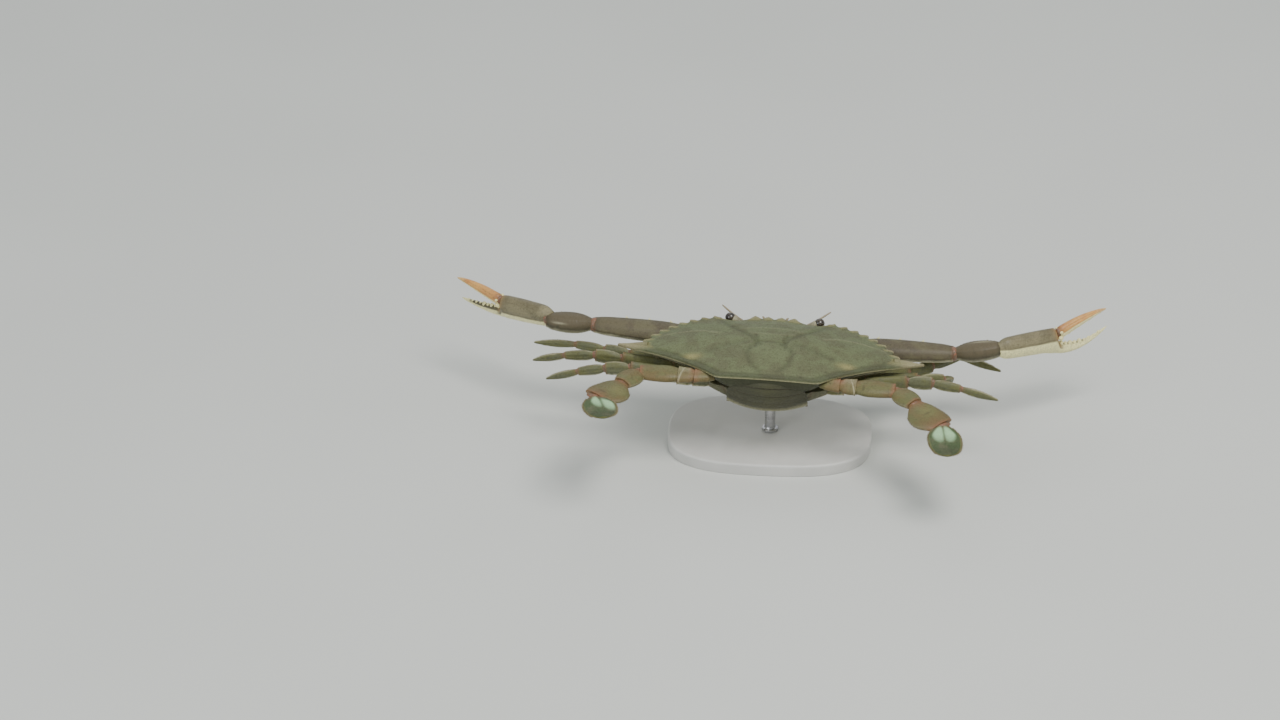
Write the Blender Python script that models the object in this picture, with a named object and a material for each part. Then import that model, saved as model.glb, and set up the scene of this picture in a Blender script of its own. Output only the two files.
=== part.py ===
"""A blue crab swimming with its claws spread, life size, on a low display stand.

Metres, +Z up. The crab faces -Y and its left side is at +X. The sizes below are millimetres in the
crab's own frame: x to its left, y to its rear, z up, from the middle of the plane through the front
and rear edges of its shell. The empty crab_pose lifts that frame over the stand and banks it.
"""

import math

import bmesh
import bpy
from mathutils import Vector

MM = 0.001
TURN = 2.0 * math.pi

# How the crab hangs over the stand.
SHELL_HEIGHT = 52.0  # shell edge above the floor
BANK_DEG = 1.8  # left side up
JOINT_GAP = 0.3  # between two pieces that meet

# The shell: width over the side spines, length from the front teeth to the rear edge.
SHELL_WIDTH = 150.0
SHELL_LENGTH = 64.0
SHELL_DOME = 6.2  # middle above the front and rear edges
SIDE_DROP = 4.0  # spine tips below the front and rear edges
RIM_THICKNESS = 1.5
SIDE_TEETH = 8  # from the outer eye tooth to the last one before the spine
TOOTH_NOTCH = 2.7
FIRST_TOOTH = (30.0, -30.2)
LAST_TOOTH = (63.0, -3.5)
ARCH = 4.3  # how far the toothed edge bows out from a straight line
REAR_CORNER = (25.0, 31.3)
DOME_POWER = 1.7  # higher is flatter in the middle and steeper at the edge
SHELL_FLOOR = -12.0  # where the shell's under side closes
SHELL_RINGS = (0.22, 0.44, 0.64, 0.82, 0.95)  # shares of the way from its middle to the edge
SHELL_FOLD = ((0.84, -7.0), (0.62, SHELL_FLOOR))  # its under side: share of the outline, height
FOLD_LENGTH = 1.12  # how much longer than wide the under side runs

# The body under the shell: (height, half width, front, rear) of each level.
BODY_LEVELS = (
    (-12.3, 37.0, -21.5, 25.6),
    (-16.0, 35.5, -21.0, 23.6),
    (-20.0, 31.0, -19.5, 19.6),
    (-23.6, 24.0, -16.5, 15.0),
    (-25.6, 16.0, -11.5, 10.5),
)
BODY_SIDES = 28
BODY_CORNER = 0.85  # under 1 squares the corners a little

# The tail flap, tucked under the body: (rear, height, half width, how far its edges wrap round the
# body as a share of the half width) down its middle line.
FLAP_LINE = (
    (30.0, -3.4, 15.5, 0.16),
    (30.2, -7.5, 17.5, 0.19),
    (28.4, -12.6, 19.0, 0.21),
    (25.0, -17.6, 20.0, 0.20),
    (20.2, -22.2, 20.2, 0.17),
    (14.6, -26.0, 19.5, 0.13),
    (7.5, -28.1, 17.5, 0.10),
    (-1.0, -28.2, 13.5, 0.10),
    (-8.0, -27.9, 8.0, 0.10),
    (-13.0, -27.5, 3.6, 0.10),
)
FLAP_THICKNESS = 2.4
FLAP_OUTSIDE = (-1.0, -0.8, -0.4, 0.0, 0.4, 0.8, 1.0)  # shares of the half width across it
FLAP_INSIDE = (0.92, 0.4, 0.0, -0.4, -0.92)

# Limb pieces: length, wide half size, thin half size, share of the width at each end, place of the
# widest point, and how sharp the two edges are (1 is an oval, more is a blade).
ARM = dict(length=66.8, wide=7.0, thin=4.6, near=0.74, far=0.72, belly=0.48, edge=0.9)
WRIST = dict(length=24.0, wide=6.0, thin=4.7, near=0.52, far=0.60, belly=0.50, edge=0.9)
LEG_MERUS = dict(wide=4.5, thin=2.5, near=0.66, far=0.80, belly=0.50, edge=1.1)
LEG_CARPUS = dict(wide=3.7, thin=2.5, near=0.66, far=0.86, belly=0.62, edge=1.1)
LEG_PROPODUS = dict(wide=3.3, thin=2.0, near=0.74, far=0.74, belly=0.45, edge=1.15)
LEG_DACTYL = dict(wide=2.6, thin=1.5, near=0.66, far=0.14, belly=0.38, edge=1.1)
OAR_MERUS = dict(length=36.0, wide=5.7, thin=2.8, near=0.50, far=0.78, belly=0.66, edge=1.1)
OAR_CARPUS = dict(length=14.5, wide=6.4, thin=2.7, near=0.60, far=0.74, belly=0.55, edge=1.15)
OAR_PROPODUS = dict(length=19.5, wide=9.6, thin=2.1, near=0.55, far=0.72, belly=0.62, edge=1.2, back=2.3)
OAR_PADDLE = dict(length=31.0, wide=8.8, thin=1.0, near=0.40, far=0.0, belly=0.46, edge=1.2)

# Walking legs from front to rear: root, the four lengths, then for each side the (forward, up)
# degrees of each piece. The left legs trail, and the right ones are drawn in.
WALKING_LEGS = {
    "leg1": dict(
        root=(29.0, -8.0, -17.5),
        lengths=(41.0, 13.0, 16.0, 22.0),
        turns={
            "l": ((8, 1), (16, -2), (20, -3), (8, -5)),
            "r": ((20, -5), (30, 6), (32, 8), (-12, -12)),
        },
    ),
    "leg2": dict(
        root=(31.0, 2.0, -16.5),
        lengths=(42.0, 13.0, 16.0, 21.0),
        turns={
            "l": ((-1, 8), (4, 2), (14, -12), (28, -24)),
            "r": ((-2, 8), (25, -10), (75, -25), (115, -35)),
        },
    ),
    "leg3": dict(
        root=(29.0, 12.0, -15.0),
        lengths=(39.0, 12.0, 14.0, 20.0),
        turns={
            "l": ((1, 6), (2, -6), (8, -16), (22, -26)),
            "r": ((3, 9), (2, 0), (0, -8), (8, -18)),
        },
    ),
}
WALKING_PIECES = (
    ("merus", LEG_MERUS, 6),
    ("carpus", LEG_CARPUS, 5),
    ("propodus", LEG_PROPODUS, 5),
    ("dactyl", LEG_DACTYL, 6),
)
WALKING_FACE = (0.0, -1.0, 0.12)  # the flat of the walking legs looks ahead and a little up
OAR_PIECES = (
    ("merus", OAR_MERUS, 6),
    ("carpus", OAR_CARPUS, 6),
    ("propodus", OAR_PROPODUS, 6),
    ("paddle", OAR_PADDLE, 8),
)
OAR_ROOT = (26.0, 26.0, -4.6)
OAR_TURNS = {
    "l": ((1, -1), (-59, 0), (-55, 1), (-103, 9)),
    "r": ((-3, 0), (-48, -2), (-44, -10), (-83, 0)),
}
OAR_FACE = (0.0, 0.17, 1.0)  # the flat of the swimming legs looks up and a little back

CLAW_ROOT = (22.0, -24.5, -10.6)
CLAW_TURNS = {
    "l": ((0.6, 2.5), (2, 0), (37, -10)),
    "r": ((0.6, 0.3), (4, 9), (32, -2)),
}
CLAW_UP = (0.0, 0.15, 1.0)  # the flat of the arm and wrist looks up and a little back
CLAW_LEAN_DEG = {"l": 6.0, "r": 0.0}  # how far the hand leans back about its own length
PALM_LENGTH = 31.5
PALM_SHIFT = {"l": (0.0, -3.0, 1.0), "r": (0.0, 0.0, 0.0)}  # the palm's root off the wrist's line
PALM_HEIGHTS = (5.6, 6.3)  # half height at the wrist and at the finger hinge
PALM_THIN = 4.7
PALM_CORNER = 0.92  # under 1 squares the palm's oval a little
PALM_BEND = 0.65  # share of the palm that its mitred root may bend
FINGER_LENGTH = 28.5
FINGER_DROP = {"l": 3.8, "r": 5.0}  # the fixed finger's root below the palm's middle line
FINGER_RISE = {"l": -1.0, "r": 2.4}  # its tip above that line
FINGER_SAG = {"l": 1.0, "r": 3.8}  # and its bow below a straight line
FINGER_ROOT = 2.9  # half height there
FINGER_TAPER = (0.84, 1.3)  # share of that lost by the tip, and how late it is lost
FINGER_GAP = 0.6  # from the palm's last ring to the fixed finger's first
THUMB_LENGTH = 27.5
THUMB_ROOT = 3.4  # the moving finger's root above the palm's middle line
THUMB_OPEN_DEG = {"l": 18.0, "r": 20.0}
THUMB_START = 1.3  # the moving finger's root past the palm's end
THUMB_HALF = 3.1
THUMB_TAPER = (0.90, 2.0)
THUMB_ARCH = 0.7
FINGER_THIN = (0.82, 0.86)  # thickness against height, fixed and moving
FINGER_TEETH = 6
CLAW_TOOTH = 0.9
ARM_SPINES = (0.42, 0.58, 0.75)  # places along the arm
ARM_SPINE = 3.6
SPINE_LEAN = (0.35, -0.84, 0.42)  # outwards, ahead and up

# Sides and steps of the skins.
LEG_SIDES, OAR_SIDES, ARM_SIDES, WRIST_SIDES, PALM_SIDES, THUMB_SIDES = 8, 10, 10, 12, 10, 8
ARM_STEPS, WRIST_STEPS, PALM_STEPS = 12, 6, 6
LIMB_THIN_SHARE = 0.45  # how much of its thickness a limb keeps where it is narrowest
MITRE_SHARE = 0.35  # share of a limb piece that its mitred end bends

# The face.
EYE_CENTRE = (22.0, -31.0, -1.6)
EYE_RADIUS = 2.8
STALK_ROOT = (12.5, -28.4, -5.2)
STALK_RADIUS = 1.9
FEELER_ROOT = (8.8, -29.4, -6.6)
FEELER_LENGTH = 24.0
FEELER_RADII = (1.5, 0.45)
FEELER_TURN = (40, 4)  # forward and up, in degrees
FEELER_LIFT = 3.0  # how far its end curls up
ANTENNULE_ROOT = (4.2, -29.6, -6.2)
ANTENNULE_REACH = 8.5
ANTENNULE_RADII = (1.2, 0.4)
MOUTH_FRAME = dict(half_width=13.0, top=-3.2, bottom=-8.4, front=-28.2, back=-20.5)
JAW_PLATE = dict(inner=0.4, outer=10.6, top=-8.8, bottom=-25.0, front=-26.4, thickness=2.2, slope=4.2)
FRAME_CORNER, JAW_CORNER = 0.7, 0.8
BALL_SIDES, STALK_SIDES, FEELER_SIDES, FRAME_SIDES, JAW_SIDES = 10, 10, 6, 16, 12
FEELER_STEPS, FRAME_STEPS, JAW_STEPS = 8, 4, 6

# The stand.
BASE_HALF = (50.0, 36.0)
BASE_THICKNESS = 6.0
BASE_BEVEL = 1.2
BASE_SIDES = 32
BASE_ROUNDING = 0.7  # under 1 squares the plate's round outline
ROD_RADIUS = 2.6
ROD_SIDES = 16
PAD_RADIUS = 6.0
PAD_THICKNESS = 1.6
ROD_FOOT = (1.4, 1.5)  # how far the rod's foot stands out, and its height
PAD_CONE = 2.0  # height of the cone under the pad

COLOURS = {
    "shell": (0.125, 0.120, 0.070, 0.42),
    "underside": (0.62, 0.58, 0.48, 0.50),
    "claw": (0.150, 0.105, 0.065, 0.40),
    "finger": (0.62, 0.20, 0.06, 0.35),
    "leg": (0.20, 0.19, 0.10, 0.45),
    "paddle": (0.17, 0.30, 0.22, 0.40),
    "eye": (0.02, 0.015, 0.012, 0.15),
    "stand": (0.70, 0.69, 0.66, 0.45),
    "steel": (0.55, 0.55, 0.56, 0.30),
}


def clear_scene():
    for obj in list(bpy.data.objects):
        bpy.data.objects.remove(obj)


def finish_of(name):
    """The material of that name, made once: colour and roughness, with metal for the rod."""
    found = bpy.data.materials.get(name)
    if found:
        return found
    red, green, blue, roughness = COLOURS[name]
    made = bpy.data.materials.new(name)
    made.use_nodes = True
    shader = made.node_tree.nodes["Principled BSDF"]
    shader.inputs["Base Color"].default_value = (red, green, blue, 1.0)
    shader.inputs["Roughness"].default_value = roughness
    shader.inputs["Metallic"].default_value = 1.0 if name == "steel" else 0.0
    return made


def body_from(name, points, faces, finish, parent=None):
    """A mesh object from points in millimetres, its faces turned outwards."""
    mesh = bpy.data.meshes.new(name)
    mesh.from_pydata([Vector(p) * MM for p in points], [], faces)
    shape = bmesh.new()
    shape.from_mesh(mesh)
    bmesh.ops.recalc_face_normals(shape, faces=shape.faces)
    shape.to_mesh(mesh)
    shape.free()
    mesh.shade_smooth()
    mesh.set_sharp_from_angle(angle=math.radians(40))
    mesh.materials.append(finish_of(finish))
    obj = bpy.data.objects.new(name, mesh)
    bpy.context.scene.collection.objects.link(obj)
    obj.parent = parent
    return obj


def grown_copy(obj):
    """A hidden copy of the piece, larger by the joint gap all round, to cut its neighbours with."""
    cutter = bpy.data.objects.new(obj.name + "_cutter", obj.data.copy())
    bpy.context.scene.collection.objects.link(cutter)
    cutter.parent = obj.parent
    cutter.hide_render = True
    cutter.display_type = "WIRE"
    shape = bmesh.new()
    shape.from_mesh(cutter.data)
    shape.normal_update()
    moves = [(v, v.normal * JOINT_GAP * MM * min(v.calc_shell_factor(), 2.0)) for v in shape.verts]
    for vertex, move in moves:
        vertex.co += move
    shape.to_mesh(cutter.data)
    shape.free()
    return cutter


def joined_rings(rings):
    """Points and faces of a skin over rings of equal count. A ring of one point makes a tip."""
    points, starts = [], []
    for ring in rings:
        starts.append(len(points))
        points.extend(ring)
    faces = []
    for low, high, a, b in zip(rings, rings[1:], starts, starts[1:]):
        count = max(len(low), len(high))
        for i in range(count):
            j = (i + 1) % count
            if len(low) == 1:
                faces.append((a, b + j, b + i))
            elif len(high) == 1:
                faces.append((a + i, a + j, b))
            else:
                faces.append((a + i, a + j, b + j, b + i))
    if len(rings[0]) > 1:
        faces.append(tuple(range(len(rings[0])))[::-1])
    if len(rings[-1]) > 1:
        faces.append(tuple(starts[-1] + i for i in range(len(rings[-1]))))
    return points, faces


def heading(forward_deg, up_deg, side):
    """The unit vector of a limb piece turned forward and up from straight out sideways."""
    forward, up = math.radians(forward_deg), math.radians(up_deg)
    out = math.cos(up) * math.cos(forward)
    return Vector((side * out, -math.cos(up) * math.sin(forward), math.sin(up)))


def swell(t, near, far, belly):
    """Share of the full width at t along a limb piece: near at 0, 1 at the belly, far at 1."""
    if t < belly:
        return near + (1.0 - near) * math.sin(0.5 * math.pi * t / belly)
    along = (t - belly) / (1.0 - belly)
    if far == 0.0:
        return math.sqrt(max(0.0, 1.0 - along * along))
    return 1.0 + (far - 1.0) * (1.0 - math.cos(0.5 * math.pi * along))


def oval_point(angle, edge):
    """A point of a unit oval. With edge over 1 its two ends draw out into blades."""
    c, s = math.cos(angle), math.sin(angle)
    return math.copysign(abs(c) ** edge, c), math.copysign(abs(s) ** (1.0 / edge), s)


def square_oval_point(angle, rounding):
    """A point of a unit oval whose four corners fill out as rounding goes under 1."""
    c, s = math.cos(angle), math.sin(angle)
    return math.copysign(abs(c) ** rounding, c), math.copysign(abs(s) ** rounding, s)


def mitred(ring, corner, axis, plane, share):
    """The ring slid along its own axis towards the plane through corner, by that share."""
    slid = []
    for p in ring:
        step = (corner - p).dot(plane) / axis.dot(plane)
        slid.append(p + axis * step * share)
    return slid


class Piece:
    """One limb piece: where it starts and ends, which way it looks, and its mitred ends."""

    def __init__(self, start, axis, length, face, before=None, after=None):
        self.start, self.axis, self.length = start, axis, length
        self.end = start + axis * length
        self.across = axis.cross(face).normalized()
        self.face = self.across.cross(axis).normalized()
        self.before = (axis + before).normalized() if before else axis
        self.after = (axis + after).normalized() if after else axis

    def point(self, along, wide, thin):
        return self.start + self.axis * along + self.across * wide + self.face * thin

    def slide(self, shift):
        """Moves the piece within the plane of its mitred root."""
        shift = shift - self.before * shift.dot(self.before)
        self.start = self.start + shift
        self.end = self.end + shift

    def fitted(self, ring, t):
        """The ring bent to the end planes, so that it meets the next piece face to face."""
        near_share = max(0.0, 1.0 - t / MITRE_SHARE) ** 2
        far_share = max(0.0, (t + MITRE_SHARE - 1.0) / MITRE_SHARE) ** 2
        if near_share:
            flat = self.start + self.axis * (self.length * t + JOINT_GAP / 2)
            ring = mitred(ring, flat, self.axis, self.before, near_share)
        if far_share:
            flat = self.end - self.axis * (self.length * (1.0 - t) + JOINT_GAP / 2)
            ring = mitred(ring, flat, self.axis, self.after, far_share)
        return ring


def limb_rings(piece, wide, thin, near, far, belly, edge, sides, steps, back=0.0):
    """Rings of a plain limb piece. far of 0 rounds its end off, back swells its rear side."""
    rearward = math.copysign(back, piece.across.y)
    rings = []
    for k in range(steps + 1):
        t = k / steps
        if far == 0.0:
            t = math.sin(0.5 * math.pi * t)
        share = swell(t, near, far, belly)
        if share < 1e-6:
            rings.append([piece.point(piece.length, 0.0, 0.0)])
            continue
        thick = thin * (LIMB_THIN_SHARE + (1.0 - LIMB_THIN_SHARE) * share)
        middle = rearward * math.sin(math.pi * t)
        ring = []
        for i in range(sides):
            w, h = oval_point(TURN * i / sides, edge)
            ring.append(piece.point(piece.length * t, middle + wide * share * w, thick * h))
        rings.append(piece.fitted(ring, t))
    return rings


def without_length(sizes):
    return {key: value for key, value in sizes.items() if key != "length"}


def chain(root, turns, lengths, side, faces):
    """The pieces of one limb, end to end from its root."""
    axes = [heading(forward, up, side) for forward, up in turns]
    pieces, start = [], Vector(root)
    start.x *= side
    for k, (axis, length) in enumerate(zip(axes, lengths)):
        before = axes[k - 1] if k else None
        after = axes[k + 1] if k + 1 < len(axes) else None
        piece = Piece(start, axis, length, faces[k], before, after)
        pieces.append(piece)
        start = piece.end
    return pieces


def on_line(a, b, t, bow=0.0):
    """A point between a and b in the plane, pushed out to the right of that line by a bow."""
    x, y = a[0] + (b[0] - a[0]) * t, a[1] + (b[1] - a[1]) * t
    length = math.hypot(b[0] - a[0], b[1] - a[1])
    out = 4.0 * bow * t * (1.0 - t) / length
    return x + (b[1] - a[1]) * out, y - (b[0] - a[0]) * out


def shell_edge():
    """Half of the shell's outline from front to rear: (edge point, smooth point inside it)."""
    front = -SHELL_LENGTH / 2
    edge = [
        ((0.0, front + 3.0), (0.0, front + 4.0)),
        ((3.3, front + 0.3), (3.3, front + 4.0)),
        ((6.2, front + 3.0), (6.2, front + 4.0)),
        ((9.8, front), (9.8, front + 4.2)),
        ((12.4, front + 3.8), (12.4, front + 5.2)),
        ((17.5, front + 6.0), (17.5, front + 6.8)),
        ((23.0, front + 5.8), (23.0, front + 6.8)),
        ((27.5, front + 4.4), (27.2, front + 6.2)),
    ]
    gaps = SIDE_TEETH - 1
    for k in range(SIDE_TEETH):
        tip = on_line(FIRST_TOOTH, LAST_TOOTH, k / gaps, ARCH)
        inner = on_line(FIRST_TOOTH, LAST_TOOTH, k / gaps, ARCH - TOOTH_NOTCH)
        shrink = 1.0 - TOOTH_NOTCH / math.hypot(*tip)
        edge.append((tip, (tip[0] * shrink, inner[1] * shrink)))
        for share, depth in ((0.30, 0.62), (0.68, 1.0)):
            t = (k + share) / gaps
            x, y = on_line(FIRST_TOOTH, LAST_TOOTH, min(t, 1.06), ARCH)
            cut = 1.0 - depth * TOOTH_NOTCH / math.hypot(x, y)
            inside = cut - 0.4 / math.hypot(x, y)
            edge.append(((x * cut, y * cut), (x * inside, y * inside)))
    spine = SHELL_WIDTH / 2
    edge += [
        ((67.5, 0.2), (61.0, 1.2)),
        ((spine, -0.6), (61.6, 2.6)),
        ((68.5, 3.2), (61.2, 4.2)),
    ]
    rear_start = (62.0, 6.6)
    for k in range(7):
        x, y = on_line(rear_start, REAR_CORNER, k / 6, -1.6)
        edge.append(((x, y), (x * 0.975, y * 0.975)))
    rear = SHELL_LENGTH / 2
    edge += [((x, rear), (x, rear - 1.0)) for x in (19.0, 12.0, 5.0, 0.0)]
    return edge


def both_sides(half):
    """A closed outline from its left half, which starts and ends on the middle line."""
    return half + [((-e[0], e[1]), (-s[0], s[1])) for e, s in half[-2:0:-1]]


def rim_height(x):
    return -SIDE_DROP * (2.0 * x / SHELL_WIDTH) ** 2


def dome_height(x, r):
    """The shell's upper surface at that share r of the way out to the edge."""
    return SHELL_DOME * (1.0 - r**DOME_POWER) + rim_height(x)


def shell_rings():
    """The shell from its middle over the edge and in along the under side."""
    outline = both_sides(shell_edge())
    rings = [[Vector((0.0, 0.0, SHELL_DOME))]]
    for r in SHELL_RINGS:
        rings.append([Vector((s[0] * r, s[1] * r, dome_height(s[0] * r, r))) for _, s in outline])
    rim = [Vector((e[0], e[1], rim_height(e[0]))) for e, _ in outline]
    rings.append(rim)
    rings.append([p + Vector((0.0, 0.0, -RIM_THICKNESS)) for p in rim])
    for share, height in SHELL_FOLD:
        rings.append([Vector((s[0] * share, s[1] * share * FOLD_LENGTH, height)) for _, s in outline])
    return rings


def body_rings():
    """The trunk under the shell, level by level, rounded at its corners."""
    rings = []
    for height, half, front, rear in BODY_LEVELS:
        ring = []
        for i in range(BODY_SIDES):
            c, s = oval_point(TURN * i / BODY_SIDES, BODY_CORNER)
            middle, reach = (front + rear) / 2, (rear - front) / 2
            ring.append(Vector((half * c, middle + reach * s, height)))
        rings.append(ring)
    return rings


def cut(obj, *cutters):
    for cutter in cutters:
        trim = obj.modifiers.new("clear_" + cutter.name, "BOOLEAN")
        trim.operation = "DIFFERENCE"
        trim.solver = "EXACT"
        trim.object = cutter


def make_flap(crab, cutters):
    """The broad tail flap, its outer face bulging, its inner face along the body."""
    rings = []
    for k, (y, z, half, wrap) in enumerate(FLAP_LINE):
        ahead = FLAP_LINE[min(k + 1, len(FLAP_LINE) - 1)]
        behind = FLAP_LINE[max(k - 1, 0)]
        along = Vector((0.0, ahead[0] - behind[0], ahead[1] - behind[1])).normalized()
        out = Vector((1.0, 0.0, 0.0)).cross(along)
        ring = []
        for shares, rise in ((FLAP_OUTSIDE, FLAP_THICKNESS / 2), (FLAP_INSIDE, -FLAP_THICKNESS / 2)):
            for x in shares:
                ring.append(Vector((half * x, y, z)) + out * (rise - wrap * half * x * x))
        rings.append(ring)
    cut(body_from("abdomen", *joined_rings(rings), "underside", crab), *cutters)


def make_walking_leg(name, leg, side, suffix, crab, cutters):
    faces = [Vector(WALKING_FACE)] * len(WALKING_PIECES)
    pieces = chain(leg["root"], leg["turns"][suffix], leg["lengths"], side, faces)
    for piece, (part, sizes, steps) in zip(pieces, WALKING_PIECES):
        rings = limb_rings(piece, sides=LEG_SIDES, steps=steps, **sizes)
        obj = body_from(f"{name}_{part}_{suffix}", *joined_rings(rings), "leg", crab)
        if part == "merus":
            cut(obj, *cutters)


def make_oar(side, suffix, crab, cutters):
    """A swimming leg: three broad flat pieces and the oval paddle."""
    lengths = [sizes["length"] for _, sizes, _ in OAR_PIECES]
    faces = [Vector(OAR_FACE)] * len(OAR_PIECES)
    pieces = chain(OAR_ROOT, OAR_TURNS[suffix], lengths, side, faces)
    for piece, (part, sizes, steps) in zip(pieces, OAR_PIECES):
        rings = limb_rings(piece, sides=OAR_SIDES, steps=steps, **without_length(sizes))
        finish = "paddle" if part == "paddle" else "leg"
        obj = body_from(f"oar_{part}_{suffix}", *joined_rings(rings), finish, crab)
        if part == "merus":
            cut(obj, *cutters)


def arm_rings(piece, side):
    """The claw's upper arm with three spines along its front edge."""
    rings = limb_rings(piece, sides=ARM_SIDES, steps=ARM_STEPS, **without_length(ARM))
    front = max(range(ARM_SIDES), key=lambda i: -rings[ARM_STEPS // 2][i].y)
    lean = Vector((SPINE_LEAN[0] * side, SPINE_LEAN[1], SPINE_LEAN[2]))
    for t in ARM_SPINES:
        ring = rings[round(t * ARM_STEPS)]
        ring[front] = ring[front] + lean * ARM_SPINE
    return rings


def palm_rings(piece, drop, rise, sag):
    """The palm, running on into the fixed finger with its row of teeth."""
    rings = []
    for k in range(PALM_STEPS + 1):
        t = k / PALM_STEPS
        low, high = PALM_HEIGHTS
        half = low + (high - low) * math.sin(0.5 * math.pi * t)
        thick = PALM_THIN * (0.72 + 0.28 * math.sin(math.pi * min(1.0, 0.2 + t * 0.6)))
        ring = []
        for i in range(PALM_SIDES):
            w, h = oval_point(TURN * i / PALM_SIDES, PALM_CORNER)
            ring.append(piece.point(PALM_LENGTH * t, half * w, thick * h))
        rings.append(piece.fitted(ring, PALM_BEND * t))
    teeth = 2 * FINGER_TEETH + 1
    for k in range(teeth + 1):
        t = k / teeth
        middle = -drop + (rise + drop) * t - 4 * sag * t * (1 - t)
        half = FINGER_ROOT * (1.0 - FINGER_TAPER[0] * t ** FINGER_TAPER[1])
        tooth = CLAW_TOOTH * (1 - 0.5 * t) if k % 2 else 0.0
        ring = []
        for i in range(PALM_SIDES):
            w, h = oval_point(TURN * i / PALM_SIDES, 1.0)
            lift = tooth if i == 0 else 0.0
            along = PALM_LENGTH + FINGER_GAP + FINGER_LENGTH * t
            ring.append(piece.point(along, middle + half * w + lift, half * FINGER_THIN[0] * h))
        rings.append(ring)
    return rings


def thumb_rings(palm, open_deg):
    """The claw's moving finger, opened from the palm and hooked a little at its tip."""
    teeth = 2 * FINGER_TEETH
    gape = math.radians(open_deg)
    rings = []
    for k in range(teeth + 1):
        t = k / teeth
        reach = THUMB_LENGTH * t
        arch = THUMB_ARCH * math.sin(math.pi * min(1.0, t * 1.05))
        half = THUMB_HALF * (1.0 - THUMB_TAPER[0] * t ** THUMB_TAPER[1])
        tooth = CLAW_TOOTH * (1 - 0.6 * t) if k % 2 else 0.0
        ring = []
        for i in range(THUMB_SIDES):
            w, h = oval_point(TURN * i / THUMB_SIDES, 1.0)
            lift = -tooth if i == THUMB_SIDES // 2 else 0.0
            up = half * w + arch + lift
            along = PALM_LENGTH + THUMB_START + reach * math.cos(gape) - up * math.sin(gape)
            high = THUMB_ROOT + reach * math.sin(gape) + up * math.cos(gape)
            ring.append(palm.point(along, high, half * FINGER_THIN[1] * h))
        rings.append(ring)
    return rings


def make_claw(side, suffix, crab, cutters):
    lean = math.radians(CLAW_LEAN_DEG[suffix])
    upwards = Vector(CLAW_UP)
    faces = [upwards, upwards, side * Vector((0.0, math.cos(lean), -math.sin(lean)))]
    lengths = (ARM["length"], WRIST["length"], PALM_LENGTH)
    arm, wrist, palm = chain(CLAW_ROOT, CLAW_TURNS[suffix], lengths, side, faces)
    palm.slide(Vector(PALM_SHIFT[suffix]))
    obj = body_from(f"claw_arm_{suffix}", *joined_rings(arm_rings(arm, side)), "claw", crab)
    cut(obj, *cutters)
    rings = limb_rings(wrist, sides=WRIST_SIDES, steps=WRIST_STEPS, **without_length(WRIST))
    body_from(f"claw_wrist_{suffix}", *joined_rings(rings), "claw", crab)
    bow = FINGER_DROP[suffix], FINGER_RISE[suffix], FINGER_SAG[suffix]
    body_from(f"claw_palm_{suffix}", *joined_rings(palm_rings(palm, *bow)), "claw", crab)
    body_from(f"claw_finger_{suffix}", *joined_rings(thumb_rings(palm, THUMB_OPEN_DEG[suffix])), "finger", crab)


def ball_rings(centre, radii, sides=BALL_SIDES, steps=6):
    rings = []
    for k in range(steps + 1):
        polar = math.pi * k / steps
        if k in (0, steps):
            rings.append([centre + Vector((0.0, 0.0, -radii[2] * math.cos(polar)))])
            continue
        rings.append(
            [
                centre
                + Vector(
                    (
                        radii[0] * math.sin(polar) * math.cos(TURN * i / sides),
                        radii[1] * math.sin(polar) * math.sin(TURN * i / sides),
                        -radii[2] * math.cos(polar),
                    )
                )
                for i in range(sides)
            ]
        )
    return rings


def rod_rings(line, radii, sides):
    """A round rod along a level line of points, its radius given at each."""
    rings = []
    for k, (centre, radius) in enumerate(zip(line, radii)):
        along = (line[min(k + 1, len(line) - 1)] - line[max(k - 1, 0)]).normalized()
        a = along.cross(Vector((0.0, 0.0, 1.0))).normalized()
        b = along.cross(a)
        turns = (TURN * i / sides for i in range(sides))
        rings.append([centre + (a * math.cos(turn) + b * math.sin(turn)) * radius for turn in turns])
    return rings


def make_eye(side, suffix, crab, shell_cutter):
    flip = Vector((side, 1.0, 1.0))
    root, eye = Vector(STALK_ROOT) * flip, Vector(EYE_CENTRE) * flip
    along = (eye - root).normalized()
    end = eye - along * (EYE_RADIUS + JOINT_GAP)
    line = [root.lerp(end, k / 4) for k in range(5)]
    radii = [STALK_RADIUS * share for share in (0.8, 0.85, 0.9, 1.0, 1.05)]
    stalk = body_from(f"eyestalk_{suffix}", *joined_rings(rod_rings(line, radii, STALK_SIDES)), "claw", crab)
    cut(stalk, shell_cutter)
    radii = (EYE_RADIUS * 0.96, EYE_RADIUS * 0.9, EYE_RADIUS * 0.9)
    body_from(f"eye_{suffix}", *joined_rings(ball_rings(eye, radii)), "eye", crab)


def make_feelers(side, suffix, crab):
    """The long antenna beside the eye and the short folded antennule nearer the middle."""
    flip = Vector((side, 1.0, 1.0))
    out = heading(*FEELER_TURN, side)
    root = Vector(FEELER_ROOT) * flip
    line, radii = [], []
    for k in range(FEELER_STEPS + 1):
        t = k / FEELER_STEPS
        line.append(root + out * FEELER_LENGTH * t + Vector((0.0, 0.0, FEELER_LIFT * t * t)))
        thick, fine = FEELER_RADII
        radii.append(thick if k < 2 else fine + (0.75 - fine) * (1.0 - t))
    body_from(f"antenna_{suffix}", *joined_rings(rod_rings(line, radii, FEELER_SIDES)), "claw", crab)
    root = Vector(ANTENNULE_ROOT) * flip
    line = [
        root + Vector((side * 2.2 * t, -ANTENNULE_REACH * t, 3.2 * math.sin(2.2 * t)))
        for t in (0.0, 0.25, 0.5, 0.75, 1.0)
    ]
    thick, fine = ANTENNULE_RADII
    radii = [thick + (fine - thick) * k / 4 for k in range(5)]
    body_from(f"antennule_{suffix}", *joined_rings(rod_rings(line, radii, FEELER_SIDES)), "claw", crab)


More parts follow.
